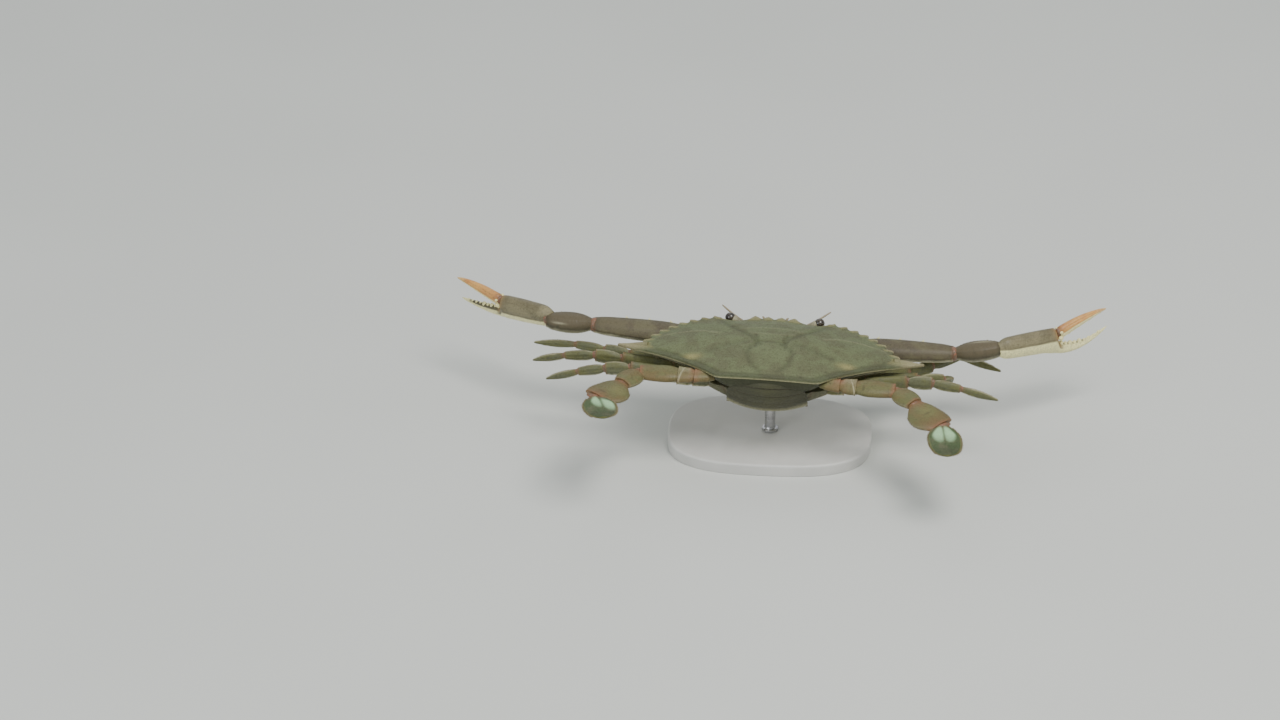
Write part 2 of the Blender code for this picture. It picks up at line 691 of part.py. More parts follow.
def make_mouth_frame(crab, cutters):
    """The block between the eyes that carries the feelers, over the mouth."""
    frame = MOUTH_FRAME
    rings = []
    for k in range(FRAME_STEPS + 1):
        t = k / FRAME_STEPS
        height = frame["top"] + (frame["bottom"] - frame["top"]) * t
        half = frame["half_width"] * (1.0 - 0.15 * t)
        front = frame["front"] + 2.0 * t
        ring = []
        for i in range(FRAME_SIDES):
            c, s = oval_point(TURN * i / FRAME_SIDES, FRAME_CORNER)
            middle, reach = (front + frame["back"]) / 2, (frame["back"] - front) / 2
            ring.append(Vector((half * c, middle + reach * s, height)))
        rings.append(ring)
    cut(body_from("epistome", *joined_rings(rings), "underside", crab), *cutters)


def make_jaw_plate(side, suffix, crab, cutters):
    """One of the two outer mouth plates, sloping back as it goes down."""
    jaw = JAW_PLATE
    middle, half = (jaw["inner"] + jaw["outer"]) / 2, (jaw["outer"] - jaw["inner"]) / 2
    rings = []
    for k in range(JAW_STEPS + 1):
        t = k / JAW_STEPS
        height = jaw["top"] + (jaw["bottom"] - jaw["top"]) * t
        share = 0.62 + 0.38 * math.sin(math.pi * min(1.0, 0.15 + 0.8 * t))
        front = jaw["front"] + jaw["slope"] * t * t - 1.2 * math.sin(math.pi * t)
        ring = []
        for i in range(JAW_SIDES):
            c, s = oval_point(TURN * i / JAW_SIDES, JAW_CORNER)
            x = side * (middle + half * share * c)
            ring.append(Vector((x, front + jaw["thickness"] / 2 * s, height)))
        rings.append(ring)
    plate = body_from(f"maxilliped_{suffix}", *joined_rings(rings), "underside", crab)
    cut(plate, *cutters)


def make_stand(crab_underside):
    """A low plate with rounded ends, and one short rod with a pad under the crab."""
    levels = (
        (0.0, 0.0),
        (BASE_THICKNESS - BASE_BEVEL, 0.0),
        (BASE_THICKNESS - BASE_BEVEL * 0.3, BASE_BEVEL * 0.3),
        (BASE_THICKNESS, BASE_BEVEL),
    )
    rings = []
    for height, inset in levels:
        ring = []
        for i in range(BASE_SIDES):
            c, s = square_oval_point(TURN * i / BASE_SIDES, BASE_ROUNDING)
            ring.append(Vector(((BASE_HALF[0] - inset) * c, (BASE_HALF[1] - inset) * s, height)))
        rings.append(ring)
    body_from("stand_base", *joined_rings(rings), "stand")
    top = crab_underside - JOINT_GAP
    low = BASE_THICKNESS + JOINT_GAP
    foot, step = ROD_RADIUS + ROD_FOOT[0], low + ROD_FOOT[1]
    pad = top - PAD_THICKNESS
    levels = (
        (low, foot),
        (step, foot),
        (step, ROD_RADIUS),
        (pad - PAD_CONE, ROD_RADIUS),
        (pad, PAD_RADIUS),
        (top, PAD_RADIUS),
    )
    turns = [TURN * i / ROD_SIDES for i in range(ROD_SIDES)]
    rings = [[Vector((r * math.cos(a), r * math.sin(a), height)) for a in turns] for height, r in levels]
    body_from("stand_rod", *joined_rings(rings), "steel")


def make_pose():
    """The empty that carries the whole crab."""
    crab = bpy.data.objects.new("crab_pose", None)
    bpy.context.scene.collection.objects.link(crab)
    crab.location = (0.0, 0.0, SHELL_HEIGHT * MM)
    crab.rotation_euler = (0.0, -math.radians(BANK_DEG), 0.0)
    return crab


def main():
    clear_scene()
    crab = make_pose()
    shell = body_from("carapace", *joined_rings(shell_rings()), "shell", crab)
    body = body_from("thorax", *joined_rings(body_rings()), "underside", crab)
    shell_cutter, body_cutter = grown_copy(shell), grown_copy(body)
    make_flap(crab, (shell_cutter, body_cutter))
    for side, suffix in ((1, "l"), (-1, "r")):
        make_claw(side, suffix, crab, (shell_cutter, body_cutter))
        for name, leg in WALKING_LEGS.items():
            make_walking_leg(name, leg, side, suffix, crab, (shell_cutter, body_cutter))
        make_oar(side, suffix, crab, (shell_cutter, body_cutter))
        make_eye(side, suffix, crab, shell_cutter)
        make_feelers(side, suffix, crab)
        make_jaw_plate(side, suffix, crab, (body_cutter, shell_cutter))
    make_mouth_frame(crab, (shell_cutter, body_cutter))
    underside = SHELL_HEIGHT + min(z for _, z, _, _ in FLAP_LINE) - FLAP_THICKNESS / 2
    make_stand(underside)


main()
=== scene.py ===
"""Dresses the solid blue crab: shell, claws, legs, paddles, face, hair, stand and studio.

Sizes are millimetres in the crab's own frame, as in its solid model: x to its left, y to its rear,
z up from the edge of its shell. pose_points() lifts that frame over the stand and banks it.
"""

from collections import namedtuple
from math import atan2, copysign, cos, hypot, pi, radians, sin, sqrt

import bpy
import numpy as np
from bpy.props import FloatProperty, FloatVectorProperty, PointerProperty
from bpy.types import NodeSocket, Operator, Panel, PropertyGroup, Scene
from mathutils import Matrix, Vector


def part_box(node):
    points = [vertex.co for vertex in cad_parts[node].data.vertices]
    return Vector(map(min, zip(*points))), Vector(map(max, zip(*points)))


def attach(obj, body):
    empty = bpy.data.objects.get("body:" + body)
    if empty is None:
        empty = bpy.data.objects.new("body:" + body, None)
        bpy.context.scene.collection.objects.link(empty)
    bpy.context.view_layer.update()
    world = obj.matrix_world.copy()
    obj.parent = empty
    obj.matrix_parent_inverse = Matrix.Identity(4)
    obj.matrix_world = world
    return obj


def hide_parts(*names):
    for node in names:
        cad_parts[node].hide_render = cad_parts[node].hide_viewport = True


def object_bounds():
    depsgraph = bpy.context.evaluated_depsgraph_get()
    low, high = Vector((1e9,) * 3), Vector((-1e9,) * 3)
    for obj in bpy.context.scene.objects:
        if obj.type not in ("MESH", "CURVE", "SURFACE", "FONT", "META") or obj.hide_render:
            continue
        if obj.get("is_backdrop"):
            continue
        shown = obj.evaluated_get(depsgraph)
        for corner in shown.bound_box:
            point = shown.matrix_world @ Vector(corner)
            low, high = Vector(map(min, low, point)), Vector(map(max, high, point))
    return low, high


bl_info = {
    "name": "Swimming blue crab",
    "version": (1, 0, 0),
    "blender": (4, 5, 0),
    "location": "View3D > Sidebar > Crab",
    "description": "Shell, claws, legs, paddles, hair, stand and studio of a life-size blue crab",
    "category": "Object",
}

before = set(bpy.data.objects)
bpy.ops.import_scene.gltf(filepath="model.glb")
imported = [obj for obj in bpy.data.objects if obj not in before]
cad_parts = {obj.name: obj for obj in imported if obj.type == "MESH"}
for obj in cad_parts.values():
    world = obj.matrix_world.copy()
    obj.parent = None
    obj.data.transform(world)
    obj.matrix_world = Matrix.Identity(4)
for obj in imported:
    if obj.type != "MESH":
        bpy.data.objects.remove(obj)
CAD_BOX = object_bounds()

MM = 0.001
TURN = 2.0 * pi
SIDES = ((1, "l"), (-1, "r"))

# How the crab hangs over the stand.
SHELL_HEIGHT = 52.0
BANK_DEG = 1.8

# The shell.
SHELL_WIDTH = 150.0
SHELL_LENGTH = 64.0
SHELL_DOME_TOP = 6.2
SKIN_DEPTH = 0.35
SIDE_DROP = 4.0
SIDE_TEETH = 8
TOOTH_NOTCH = 2.7
FIRST_TOOTH = (30.0, -30.2)
LAST_TOOTH = (63.0, -3.5)
ARCH = 4.3
REAR_CORNER = (25.0, 31.3)
RIM_HALF = 0.85

# How the shell closes below: (share of its outline, height).
SHELL_CLOSING = (
    (0.93, -3.6), (0.88, -5.4), (0.84, -7.0), (0.76, -9.2), (0.66, -11.2), (0.55, -12.0), (0.3, -12.0),
    (0.05, -12.0),
)

# Points along the shell's outline for each of its corners.
SHELL_FINE = 9

# The shell's relief. Lobes: (centre x, centre y, half width, half length, height). Lines: (points, width,
# depth or height), each on both halves.
RELIEF_SHARE = 0.58
SHELL_LOBES = (
    (0.0, -14.0, 14.0, 11.0, 0.60),
    (0.0, 14.0, 7.5, 8.0, 0.80),
    (15.5, 17.0, 6.5, 9.5, 0.70),
    (38.0, 3.0, 17.0, 11.0, 0.70),
    (24.0, -15.0, 7.0, 6.0, 0.30),
    (17.0, 4.0, 7.0, 5.0, 0.35),
)
SHELL_GROOVES = (
    (((5.2, 7.0), (8.6, 1.8), (12.6, -3.4), (18.0, -9.0), (23.5, -16.5), (26.5, -24.0)), 1.7, 0.62),
    (((7.8, -1.5), (6.8, 3.5), (7.4, 9.5)), 1.1, 0.70),
    (((-0.1, 4.8), (3.0, 4.9), (6.8, 4.4)), 1.2, 0.50),
    (((9.6, 9.0), (10.8, 15.5), (8.6, 22.5), (4.6, 27.0)), 1.5, 0.50),
    (((12.0, 5.0), (20.0, 7.5), (30.0, 12.5)), 2.2, 0.35),
)
SHELL_RIDGES = (
    (((67.0, -0.6), (57.0, -5.0), (46.0, -7.6), (35.0, -7.4), (26.0, -3.6)), 0.85, 0.50),
    (((-0.1, -10.0), (8.0, -9.6), (15.0, -8.0)), 0.75, 0.34),
    (((-0.1, -2.6), (6.0, -2.8), (11.0, -4.0)), 0.7, 0.26),
    (((-0.1, -18.0), (6.0, -17.6), (10.0, -16.6)), 0.7, 0.22),
)

# A yellow spot on each rear side of the shell: its centre and half sizes.
REAR_SPOT = (38.0, 15.4, 4.4, 2.0)

# The body under the shell: (height, half width, front, rear) of each level.
BODY_LEVELS = (
    (-12.3, 37.0, -21.5, 25.6),
    (-16.0, 35.5, -21.0, 23.6),
    (-20.0, 31.0, -19.5, 19.6),
    (-23.6, 24.0, -16.5, 15.0),
    (-25.6, 16.0, -11.5, 10.5),
)
TRUNK_TOP = (-11.9, 36.2, -21.0, 25.2)

# How the body closes below: (share of its lowest level, drop). Then the bearings of its seams.
TRUNK_CLOSING = ((0.82, 0.5), (0.6, 0.75), (0.35, 0.75), (0.1, 0.75))
TRUNK_SEAMS = (-0.62, -0.30, 0.02, 0.34, 0.66)

# The tail flap: (rear, height, half width, wrap of its edges round the body) down its middle line.
FLAP_LINE = (
    (30.0, -3.4, 15.5, 0.16),
    (30.2, -7.5, 17.5, 0.19),
    (28.4, -12.6, 19.0, 0.21),
    (25.0, -17.6, 20.0, 0.20),
    (20.2, -22.2, 20.2, 0.17),
    (14.6, -26.0, 19.5, 0.13),
    (7.5, -28.1, 17.5, 0.10),
    (-1.0, -28.2, 13.5, 0.10),
    (-8.0, -27.9, 8.0, 0.10),
    (-13.0, -27.5, 3.6, 0.10),
)
FLAP_THICKNESS = 2.4
FLAP_JOINTS = (0.085, 0.19, 0.30, 0.42, 0.54, 0.66, 0.80)
FLAP_SLIM = 0.985

# Limb pieces, with the sizes of the solids: half width, half thickness, their shares at its near and far
# ends, where it is widest, how flat its section is, its length and how far its rear side swells.
LimbSize = namedtuple("LimbSize", "wide thin near far belly edge length back", defaults=(0.0, 0.0))
ARM = LimbSize(length=66.8, wide=7.0, thin=4.6, near=0.74, far=0.72, belly=0.48, edge=0.9)
WRIST = LimbSize(length=24.0, wide=6.0, thin=4.7, near=0.52, far=0.60, belly=0.50, edge=0.9)
LEG_MERUS = LimbSize(wide=4.5, thin=2.5, near=0.66, far=0.80, belly=0.50, edge=1.1)
LEG_CARPUS = LimbSize(wide=3.7, thin=2.5, near=0.66, far=0.86, belly=0.62, edge=1.1)
LEG_PROPODUS = LimbSize(wide=3.3, thin=2.0, near=0.74, far=0.74, belly=0.45, edge=1.15)
LEG_DACTYL = LimbSize(wide=2.6, thin=1.5, near=0.66, far=0.14, belly=0.38, edge=1.1)
OAR_MERUS = LimbSize(length=36.0, wide=5.7, thin=2.8, near=0.50, far=0.78, belly=0.66, edge=1.1)
OAR_CARPUS = LimbSize(length=14.5, wide=6.4, thin=2.7, near=0.60, far=0.74, belly=0.55, edge=1.15)
OAR_PROPODUS = LimbSize(length=19.5, wide=9.6, thin=2.1, near=0.55, far=0.72, belly=0.62, edge=1.2, back=2.3)
OAR_PADDLE = LimbSize(length=31.0, wide=8.8, thin=1.0, near=0.40, far=0.0, belly=0.46, edge=1.2)

# The legs: where each starts, and the turns of its pieces forward and up, from the body outwards.
WALKING_LEGS = {
    "leg1": dict(
        root=(29.0, -8.0, -17.5), lengths=(41.0, 13.0, 16.0, 22.0),
        turns=dict(l=((8, 1), (16, -2), (20, -3), (8, -5)), r=((20, -5), (30, 6), (32, 8), (-12, -12))),
    ),
    "leg2": dict(
        root=(31.0, 2.0, -16.5), lengths=(42.0, 13.0, 16.0, 21.0),
        turns=dict(l=((-1, 8), (4, 2), (14, -12), (28, -24)), r=((-2, 8), (25, -10), (75, -25), (115, -35))),
    ),
    "leg3": dict(
        root=(29.0, 12.0, -15.0), lengths=(39.0, 12.0, 14.0, 20.0),
        turns=dict(l=((1, 6), (2, -6), (8, -16), (22, -26)), r=((3, 9), (2, 0), (0, -8), (8, -18))),
    ),
}
WALKING_PIECES = (
    ("merus", LEG_MERUS), ("carpus", LEG_CARPUS), ("propodus", LEG_PROPODUS), ("dactyl", LEG_DACTYL),
)
WALKING_FACE = (0.0, -1.0, 0.12)
OAR_PIECES = (
    ("merus", OAR_MERUS), ("carpus", OAR_CARPUS), ("propodus", OAR_PROPODUS), ("paddle", OAR_PADDLE),
)
OAR_ROOT = (26.0, 26.0, -4.6)
OAR_TURNS = {
    "l": ((1, -1), (-59, 0), (-55, 1), (-103, 9)),
    "r": ((-3, 0), (-48, -2), (-44, -10), (-83, 0)),
}
OAR_FACE = (0.0, 0.17, 1.0)

# The claws. The fixed finger is part of the palm, and the thumb is the moving finger.
CLAW_ROOT = (22.0, -24.5, -10.6)
CLAW_TURNS = {
    "l": ((0.6, 2.5), (2, 0), (37, -10)),
    "r": ((0.6, 0.3), (4, 9), (32, -2)),
}
CLAW_LEAN_DEG = {"l": 6.0, "r": 0.0}
CLAW_UP = (0.0, 0.15, 1.0)
PALM_LENGTH = 31.5
PALM_SHIFT = {"l": (0.0, -3.0, 1.0), "r": (0.0, 0.0, 0.0)}
PALM_HEIGHTS = (5.6, 6.3)
PALM_THIN = 4.7
PALM_START = -2.6
PALM_EDGE = 0.94
PALM_TEETH = 9
FINGER_LENGTH = 28.5
FINGER_DROP = {"l": 3.8, "r": 5.0}
FINGER_RISE = {"l": -1.0, "r": 2.4}
FINGER_SAG = {"l": 1.0, "r": 3.8}
FINGER_ROOT = 2.9
FINGER_TAPER = (0.84, 1.3)
FINGER_GAP = 0.6
FINGER_THIN = 0.82
FINGER_END = (57.5, 60.4)
FINGER_TIP_DARK = (58.5, 60.4)
THUMB_LENGTH = 27.5
THUMB_ROOT = 3.4
THUMB_START = 1.3
THUMB_OPEN_DEG = {"l": 18.0, "r": 20.0}
THUMB_HALF = 3.1
THUMB_TAPER = (0.90, 2.0)
THUMB_ARCH = 0.7
THUMB_THIN = 0.86
THUMB_TEETH = 11
ARM_SPINES = (0.42, 0.58, 0.75)
SPINE_LEAN = (0.35, -0.84, 0.42)

# How far up the hand's side its cream reaches, from -1 at the bottom to 1 at the top.
CREAM_TOP = {"l": -0.16, "r": 0.20}
THUMB_CREAM_TOP = {"l": 0.0, "r": 0.16}

# The painted shade on the fixed finger's crown, between its teeth: how low it starts and how far along it
# runs.
CROWN_SHADE = {"l": (0.30, 26.0), "r": (0.74, 19.0)}
CROWN_TEETH = {"l": 0.78, "r": 1.0}

# How far each paddle's pale patch slants towards its tip, and lies aside, on the body's side.
PATCH_SLANT = {"l": 0.20, "r": 0.0}
PATCH_ASIDE = {"l": 0.24, "r": 0.0}

# Where the wrist's painted highlight lies round it and along it, and its length.
WRIST_HIGHLIGHT = {"l": (0.95, 0.72, 0.13), "r": (0.22, 0.62, 0.22)}

# Shares of a limb's first piece where its short root joints end.
ARM_ROOTS = (0.0, 0.12, 0.30, 1.0)
LEG_ROOTS = (0.0, 0.20, 0.40, 1.0)
OAR_ROOTS = (0.0, 0.26, 0.48, 1.0)

# How far an edge draws in to leave room for its fringe, and the share of the paddle where it ends.
FRINGE_ROOM = 0.55
PADDLE_FRINGE_ROOM = 1.0
PADDLE_TIP = 0.957

# The fringes of each limb: (piece, span along it, room left for it, and on the swimming legs its length).
OAR_FRINGES = (
    (1, (0.24, 0.88), 0.5, 0.85),
    (2, (0.24, 0.88), 0.5, 0.95),
    (3, (0.08, PADDLE_TIP - 0.0015), PADDLE_FRINGE_ROOM, 1.35),
)
LEG_FRINGES = ((1, (0.30, 0.90), 0.2), (2, (0.24, 0.92), FRINGE_ROOM), (3, (0.08, 0.80), FRINGE_ROOM))
HAIR_LEAN = 0.5
HAIR_SPREAD = 0.22
DOWN = (0.0, 0.0, -1.0)

# A limb segment's rounded neck and its cuff: each row's share of the width and of the lip's length.
NECK_SHRINK, NECK_PUSH = (0.25, 0.62, 0.86, 0.97), (0.0, 0.12, 0.35, 0.7)
CUFF_SHRINK, CUFF_PUSH = (0.97, 0.9, 0.72, 0.4), (0.94, 0.86, 0.9, 1.1)

# The part of a limb piece that a whole segment takes, with a small gap before the next piece.
WHOLE = (0.0, 0.985)

# The upper and lower middle lines of a limb piece, as turns round it.
ABOVE, BELOW = pi / 2, -pi / 2

# The paint masks, whose pale and dark ones also carry painted highlights and painted shade, and the paint of
# soft joints and of bright cream teeth.
PALE, RED, ACCENT, DARK = range(4)
SOFT_RED = (0.0, 1.0, 0.0, 0.0)
BRIGHT_CREAM = (1.0, 0.05, 0.0, 0.0)

# Where the random draws of each part start.
SEEDS = dict(
    palm=11, finger=21, arm=31, wrist=41, leg=100, oar=300,
    oar_fringe=500, leg_fringe=540, jaw_fringe=600, flap_fringe=640, shell_fringe=661,
)

# The face.
EYE_CENTRE = (22.0, -31.0, -1.6)
EYE_RADIUS = 2.8
STALK_ROOT = (12.5, -28.4, -5.2)
FEELER_ROOT = (8.8, -29.4, -6.6)
FEELER_LENGTH = 24.0
FEELER_TURN = (40, 4)
FEELER_LIFT = 3.0
ANTENNULE_ROOT = (4.2, -29.6, -6.2)
ANTENNULE_REACH = 8.5

# The mouth frame: half width, top, bottom, front and back. Then the share of its height and of its
# width at each level, the jaw plates, and the line of their palps.
MOUTH_FRAME = (13.0, -3.2, -8.4, -28.2, -20.5)
MOUTH_LEVELS = (
    (0, 0.8), (0.02, 0.93), (0.08, 1), (0.3, 1), (0.55, 1), (0.8, 1), (0.95, 0.97), (1, 0.85),
)
JAW_PLATE = dict(middle=5.5, half=5.1, top=-8.8, bottom=-25.0, front=-26.4, thickness=2.2, slope=4.2)
PALP_LINE = ((9.2, -27.6, -9.4), (8.0, -28.6, -12.4), (5.4, -28.7, -15.4), (2.4, -28.4, -17.0))

# How thick an eye stalk is at shares of its length, and the feelers from root to tip.
STALK_SHARES = (0, 0.12, 0.3, 0.42, 0.5, 0.8, 1.0)
STALK_RADII = (1.2, 1.6, 1.55, 1.25, 1.5, 1.9, 2.1)
FEELER_RADII = (1.35, 1.45, 0.78, 0.7, 0.62, 0.56, 0.50, 0.44, 0.30)
ANTENNULE_RADII = (1.15, 1.0, 0.75, 0.55, 0.3)

# The stand.
BASE_HALF = (50.0, 36.0)
BASE_THICKNESS = 6.0
BASE_BEVEL = 1.2
BASE_ROUNDING = 0.7
ROD_RADIUS = 2.6
PAD_RADIUS = 6.0
PAD_THICKNESS = 1.6


# ---- shapes


def smooth(x, low, high):
    """0 below low, 1 above high and an even curve between."""
    t = np.clip((np.asarray(x, float) - low) / (high - low), 0.0, 1.0)
    return t * t * (3.0 - 2.0 * t)


def bump(x, centre, width):
    """1 at the centre, falling off on both sides."""
    return np.exp(-(((np.asarray(x, float) - centre) / width) ** 2))


def unit(v):
    """v at length 1."""
    v = np.asarray(v, float)
    return v / np.linalg.norm(v, axis=-1, keepdims=True)


def xyz(x, y, z):
    """Points from three sets of coordinates that fit one another."""
    return np.stack(np.broadcast_arrays(x, y, z), axis=-1)


def turns_round(count):
    """Even turns round a piece."""
    return np.arange(count) * TURN / count


def powered(v, power):
    """v with its size raised to a power, and its sign kept."""
    return np.sign(v) * np.abs(v) ** power


def curve_through(points, count, closed=False):
    """Even samples of a smooth curve that passes through the points."""
    p = np.asarray(points, float)
    if closed:
        p = np.vstack([p[-1:], p, p[:2]])
    else:
        p = np.vstack([2 * p[0] - p[1], p, 2 * p[-1] - p[-2]])
    spans = len(p) - 3
    u = np.linspace(0, spans, count, endpoint=not closed)
    k = np.minimum(u.astype(int), spans - 1)
    t = (u - k)[:, None]
    a, b, c, d = p[k], p[k + 1], p[k + 2], p[k + 3]
    cubic = (2 * b) + (c - a) * t + (2 * a - 5 * b + 4 * c - d) * t**2 + (3 * b - a - 3 * c + d) * t**3
    return 0.5 * cubic


def pose_points(points):
    """From the crab's own millimetres to metres over the stand."""
    bank = radians(BANK_DEG)
    c, s = cos(bank), sin(bank)
    p = np.asarray(points, float)
    out = np.empty_like(p)
    out[..., 0] = p[..., 0] * c - p[..., 2] * s
    out[..., 1] = p[..., 1]
    out[..., 2] = p[..., 0] * s + p[..., 2] * c + SHELL_HEIGHT
    return out * MM


def stand_points(points):
    """The stand's millimetres to metres."""
    return np.asarray(points, float) * MM


def paint_like(shape, pale=0.0, red=0.0, accent=0.0, dark=0.0):
    """The four paint masks of a set of points: pale, red, accent and dark, each from 0 to 1."""
    paint = np.zeros(tuple(shape) + (4,))
    for channel, mask in enumerate((pale, red, accent, dark)):
        paint[..., channel] = np.clip(mask, 0.0, 1.0)
    return paint


def raise_paint(paint, channel, mask):
    """Brings one mask of the paint up to another mask."""
    paint[..., channel] = np.clip(np.maximum(paint[..., channel], mask), 0.0, 1.0)


def add_paint(paint, channel, mask):
    """Adds another mask to one mask of the paint."""
    paint[..., channel] = np.clip(paint[..., channel] + mask, 0.0, 1.0)


def added(name, data):
    """A new object in the scene."""
    item = bpy.data.objects.new(name, data)
    bpy.context.scene.collection.objects.link(item)
    return item


class Skin:
    """Gathers the points, faces and paint of one piece."""

    def __init__(self):
        self.points, self.paint, self.quads, self.tris, self.patches = [], [], [], [], []
        self.count = 0

    def add(self, points, paint, quads, tris, patches=None):
        """Adds a shell, turned outwards if it is closed."""
        faces = np.vstack([quads[:, :3], quads[:, [0, 2, 3]], tris])
        a, b, c = (points[faces[:, k]] for k in range(3))
        middle = points.mean(axis=0)
        volume = np.einsum("ij,ij->i", a - middle, np.cross(b - middle, c - middle)).sum()
        if volume < 0 and patches is None:
            quads, tris = quads[:, ::-1], tris[:, ::-1]
        self.points.append(points)
        self.paint.append(paint)
        self.quads.append(quads + self.count)
        self.tris.append(tris + self.count)
        if patches is not None:
            self.patches.append(patches)
        self.count += len(points)

    def grid(self, rows, paint):
        """A skin over rows of points, wrapped round, its first and last row closed by a fan."""
        rows = np.asarray(rows)
        paint = np.broadcast_to(paint, rows.shape[:2] + (4,))
        n, m, _ = rows.shape
        left = np.arange(n * m).reshape(n, m)
        right = np.roll(left, -1, axis=1)
        quads = np.stack([left[:-1], right[:-1], right[1:], left[1:]], axis=-1).reshape(-1, 4)
        points = np.vstack([rows.reshape(-1, 3), rows[0].mean(axis=0), rows[-1].mean(axis=0)])
        colours = np.vstack([paint.reshape(-1, 4), paint[0].mean(axis=0), paint[-1].mean(axis=0)])
        first = np.stack([right[0], left[0], np.full(m, n * m)], axis=-1)
        last = np.stack([left[-1], right[-1], np.full(m, n * m + 1)], axis=-1)
        self.add(points, colours, quads, np.vstack([first, last]))

    def horn(self, root, along, length, radius, base, tip, blunt, sides=14, steps=9):
        """A spine or tooth growing from root, painted from base to tip. blunt over 1 rounds its tip."""
        along = unit(along)
        side = unit(np.cross(along, (0.31, 0.52, 0.79)))
        other = np.cross(along, side)
        t = np.linspace(0.0, 1.0, steps + 1)
        size = radius * np.maximum((1.0 - t**blunt), 0.03)
        turn = turns_round(sides)
        middle = np.asarray(root) + along * (length * t[:, None])
        spread = side * np.cos(turn)[:, None] + other * np.sin(turn)[:, None]
        rows = middle[:, None, :] + size[:, None, None] * spread[None, :, :]
        paint = np.asarray(base, float) * (1 - t[:, None]) + np.asarray(tip, float) * t[:, None]
        self.grid(rows, paint[:, None, :])

    def ball(self, centre, axes, radii, paint=(0, 0, 0, 0), sides=28, steps=16):
        """An egg with three axes."""
        polar = np.linspace(0.0, pi, steps + 1)[:, None]
        turn = turns_round(sides)[None, :]
        a = radii[0] * np.sin(polar) * np.cos(turn)
        b = radii[1] * np.sin(polar) * np.sin(turn)
        c = radii[2] * np.cos(polar) * np.ones_like(turn)
        axes = np.asarray(axes, float)
        rows = a[..., None] * axes[0] + b[..., None] * axes[1] + c[..., None] * axes[2] + centre
        self.grid(rows, paint)

    def hairs(self, roots, ends, width, places, curl):
        """Thin three-sided hairs from roots to ends, each bent by curl, with a patch of the map each."""
        n = len(roots)
        along = ends - roots
        side = unit(np.cross(along, np.array((0.17, 0.29, 0.94))))
        other = unit(np.cross(along, side))
        rings = []
        for share, size in ((0.0, 1.0), (0.55, 0.75)):
            middle = roots + along * share + curl * share * share
            for k in range(3):
                turn = k * TURN / 3
                rings.append(middle + (side * cos(turn) + other * sin(turn)) * width * size * 0.5)
        rings.append(roots + along + curl)
        points = np.stack(rings, axis=1).reshape(-1, 3)
        base = (np.arange(n) * 7)[:, None]
        quads = [[k, (k + 1) % 3, 3 + (k + 1) % 3, 3 + k] for k in range(3)]
        tris = [[3 + k, 3 + (k + 1) % 3, 6] for k in range(3)] + [[2, 1, 0]]
        quads = (base[:, None] + np.array(quads)[None]).reshape(-1, 4)
        tris = (base[:, None] + np.array(tris)[None]).reshape(-1, 3)
        paint = np.zeros((n, 7, 4))
        paint[:, 3:6, 0] = 0.35
        paint[:, 6, 0] = 1.0
        corner = np.array([(0, 0), (1, 0), (0.5, 1), (0, 0.4), (1, 0.4), (0.5, 0.8), (0.5, 0.5)]) * 0.003
        patches = (places[:, None, :] + corner[None]).reshape(-1, 2)
        self.add(points, paint.reshape(-1, 4), quads, tris, patches)

    def dressed(self, name, finish, slot, *nodes, posed=True, sharp=None):
        """Makes the piece, gives it its finish, and hides the solids that it stands for. Its slot is not
        used.
        """
        points = np.vstack(self.points)
        points = pose_points(points) if posed else stand_points(points)
        quads, tris = np.vstack(self.quads), np.vstack(self.tris)
        mesh = bpy.data.meshes.new(name)
        mesh.vertices.add(len(points))
        mesh.vertices.foreach_set("co", points.astype(np.float32).ravel())
        corners = np.concatenate([quads.ravel(), tris.ravel()]).astype(np.int32)
        mesh.loops.add(len(corners))
        mesh.loops.foreach_set("vertex_index", corners)
        starts = np.concatenate([np.arange(len(quads)) * 4, len(quads) * 4 + np.arange(len(tris)) * 3])
        mesh.polygons.add(len(starts))
        mesh.polygons.foreach_set("loop_start", starts.astype(np.int32))
        mesh.update(calc_edges=True)
        mesh.validate()
        masks = mesh.attributes.new("paint", "FLOAT_COLOR", "POINT")
        masks.data.foreach_set("color", np.vstack(self.paint).astype(np.float32).ravel())
        if self.patches:
            layer = mesh.uv_layers.new(name="OFBake")
            places = np.vstack(self.patches)[corners]
            layer.data.foreach_set("uv", places.astype(np.float32).ravel())
        mesh.shade_smooth()
        if sharp:
            mesh.set_sharp_from_angle(angle=radians(sharp))
        mesh.materials.append(finish)
        piece = added(name, mesh)
        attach(piece, "root")
        if nodes:
            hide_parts(*nodes)


# ---- limbs


def heading(forward_deg, up_deg, side):
    """The unit vector of a limb piece turned forward and up from straight out sideways."""
    forward, up = radians(forward_deg), radians(up_deg)
    out = cos(up) * cos(forward)
    return np.array((side * out, -cos(up) * sin(forward), sin(up)))


def swell(size, t):
    """Share of the full width at t along a limb piece."""
    t = np.asarray(t, float)
    near, far, belly = size.near, size.far, size.belly
    first = near + (1.0 - near) * np.sin(0.5 * pi * np.clip(t / belly, 0, 1))
    along = np.clip((t - belly) / (1.0 - belly), 0, 1)
    if far == 0.0:
        last = np.sqrt(np.clip(1.0 - along * along, 0.0, 1.0))
    else:
        last = 1.0 + (far - 1.0) * (1.0 - np.cos(0.5 * pi * along))
    return np.where(t < belly, first, last)


def thinness(size, share):
    """Half thickness of a limb piece where it has that share of its full width."""
    return size.thin * (0.45 + 0.55 * share)


class Piece:
    """One limb piece: its start, its direction, and the two directions across it."""

    def __init__(self, start, axis, length, face):
        self.start, self.axis, self.length = np.asarray(start, float), axis, length
        self.end = self.start + axis * length
        self.across = unit(np.cross(axis, face))
        self.face = unit(np.cross(self.across, axis))

    def at(self, along, wide, thin):
        """The point that far along the piece, across it and up from it."""
        along, wide, thin = (np.asarray(v, float)[..., None] for v in (along, wide, thin))
        return self.start + self.axis * along + self.across * wide + self.face * thin


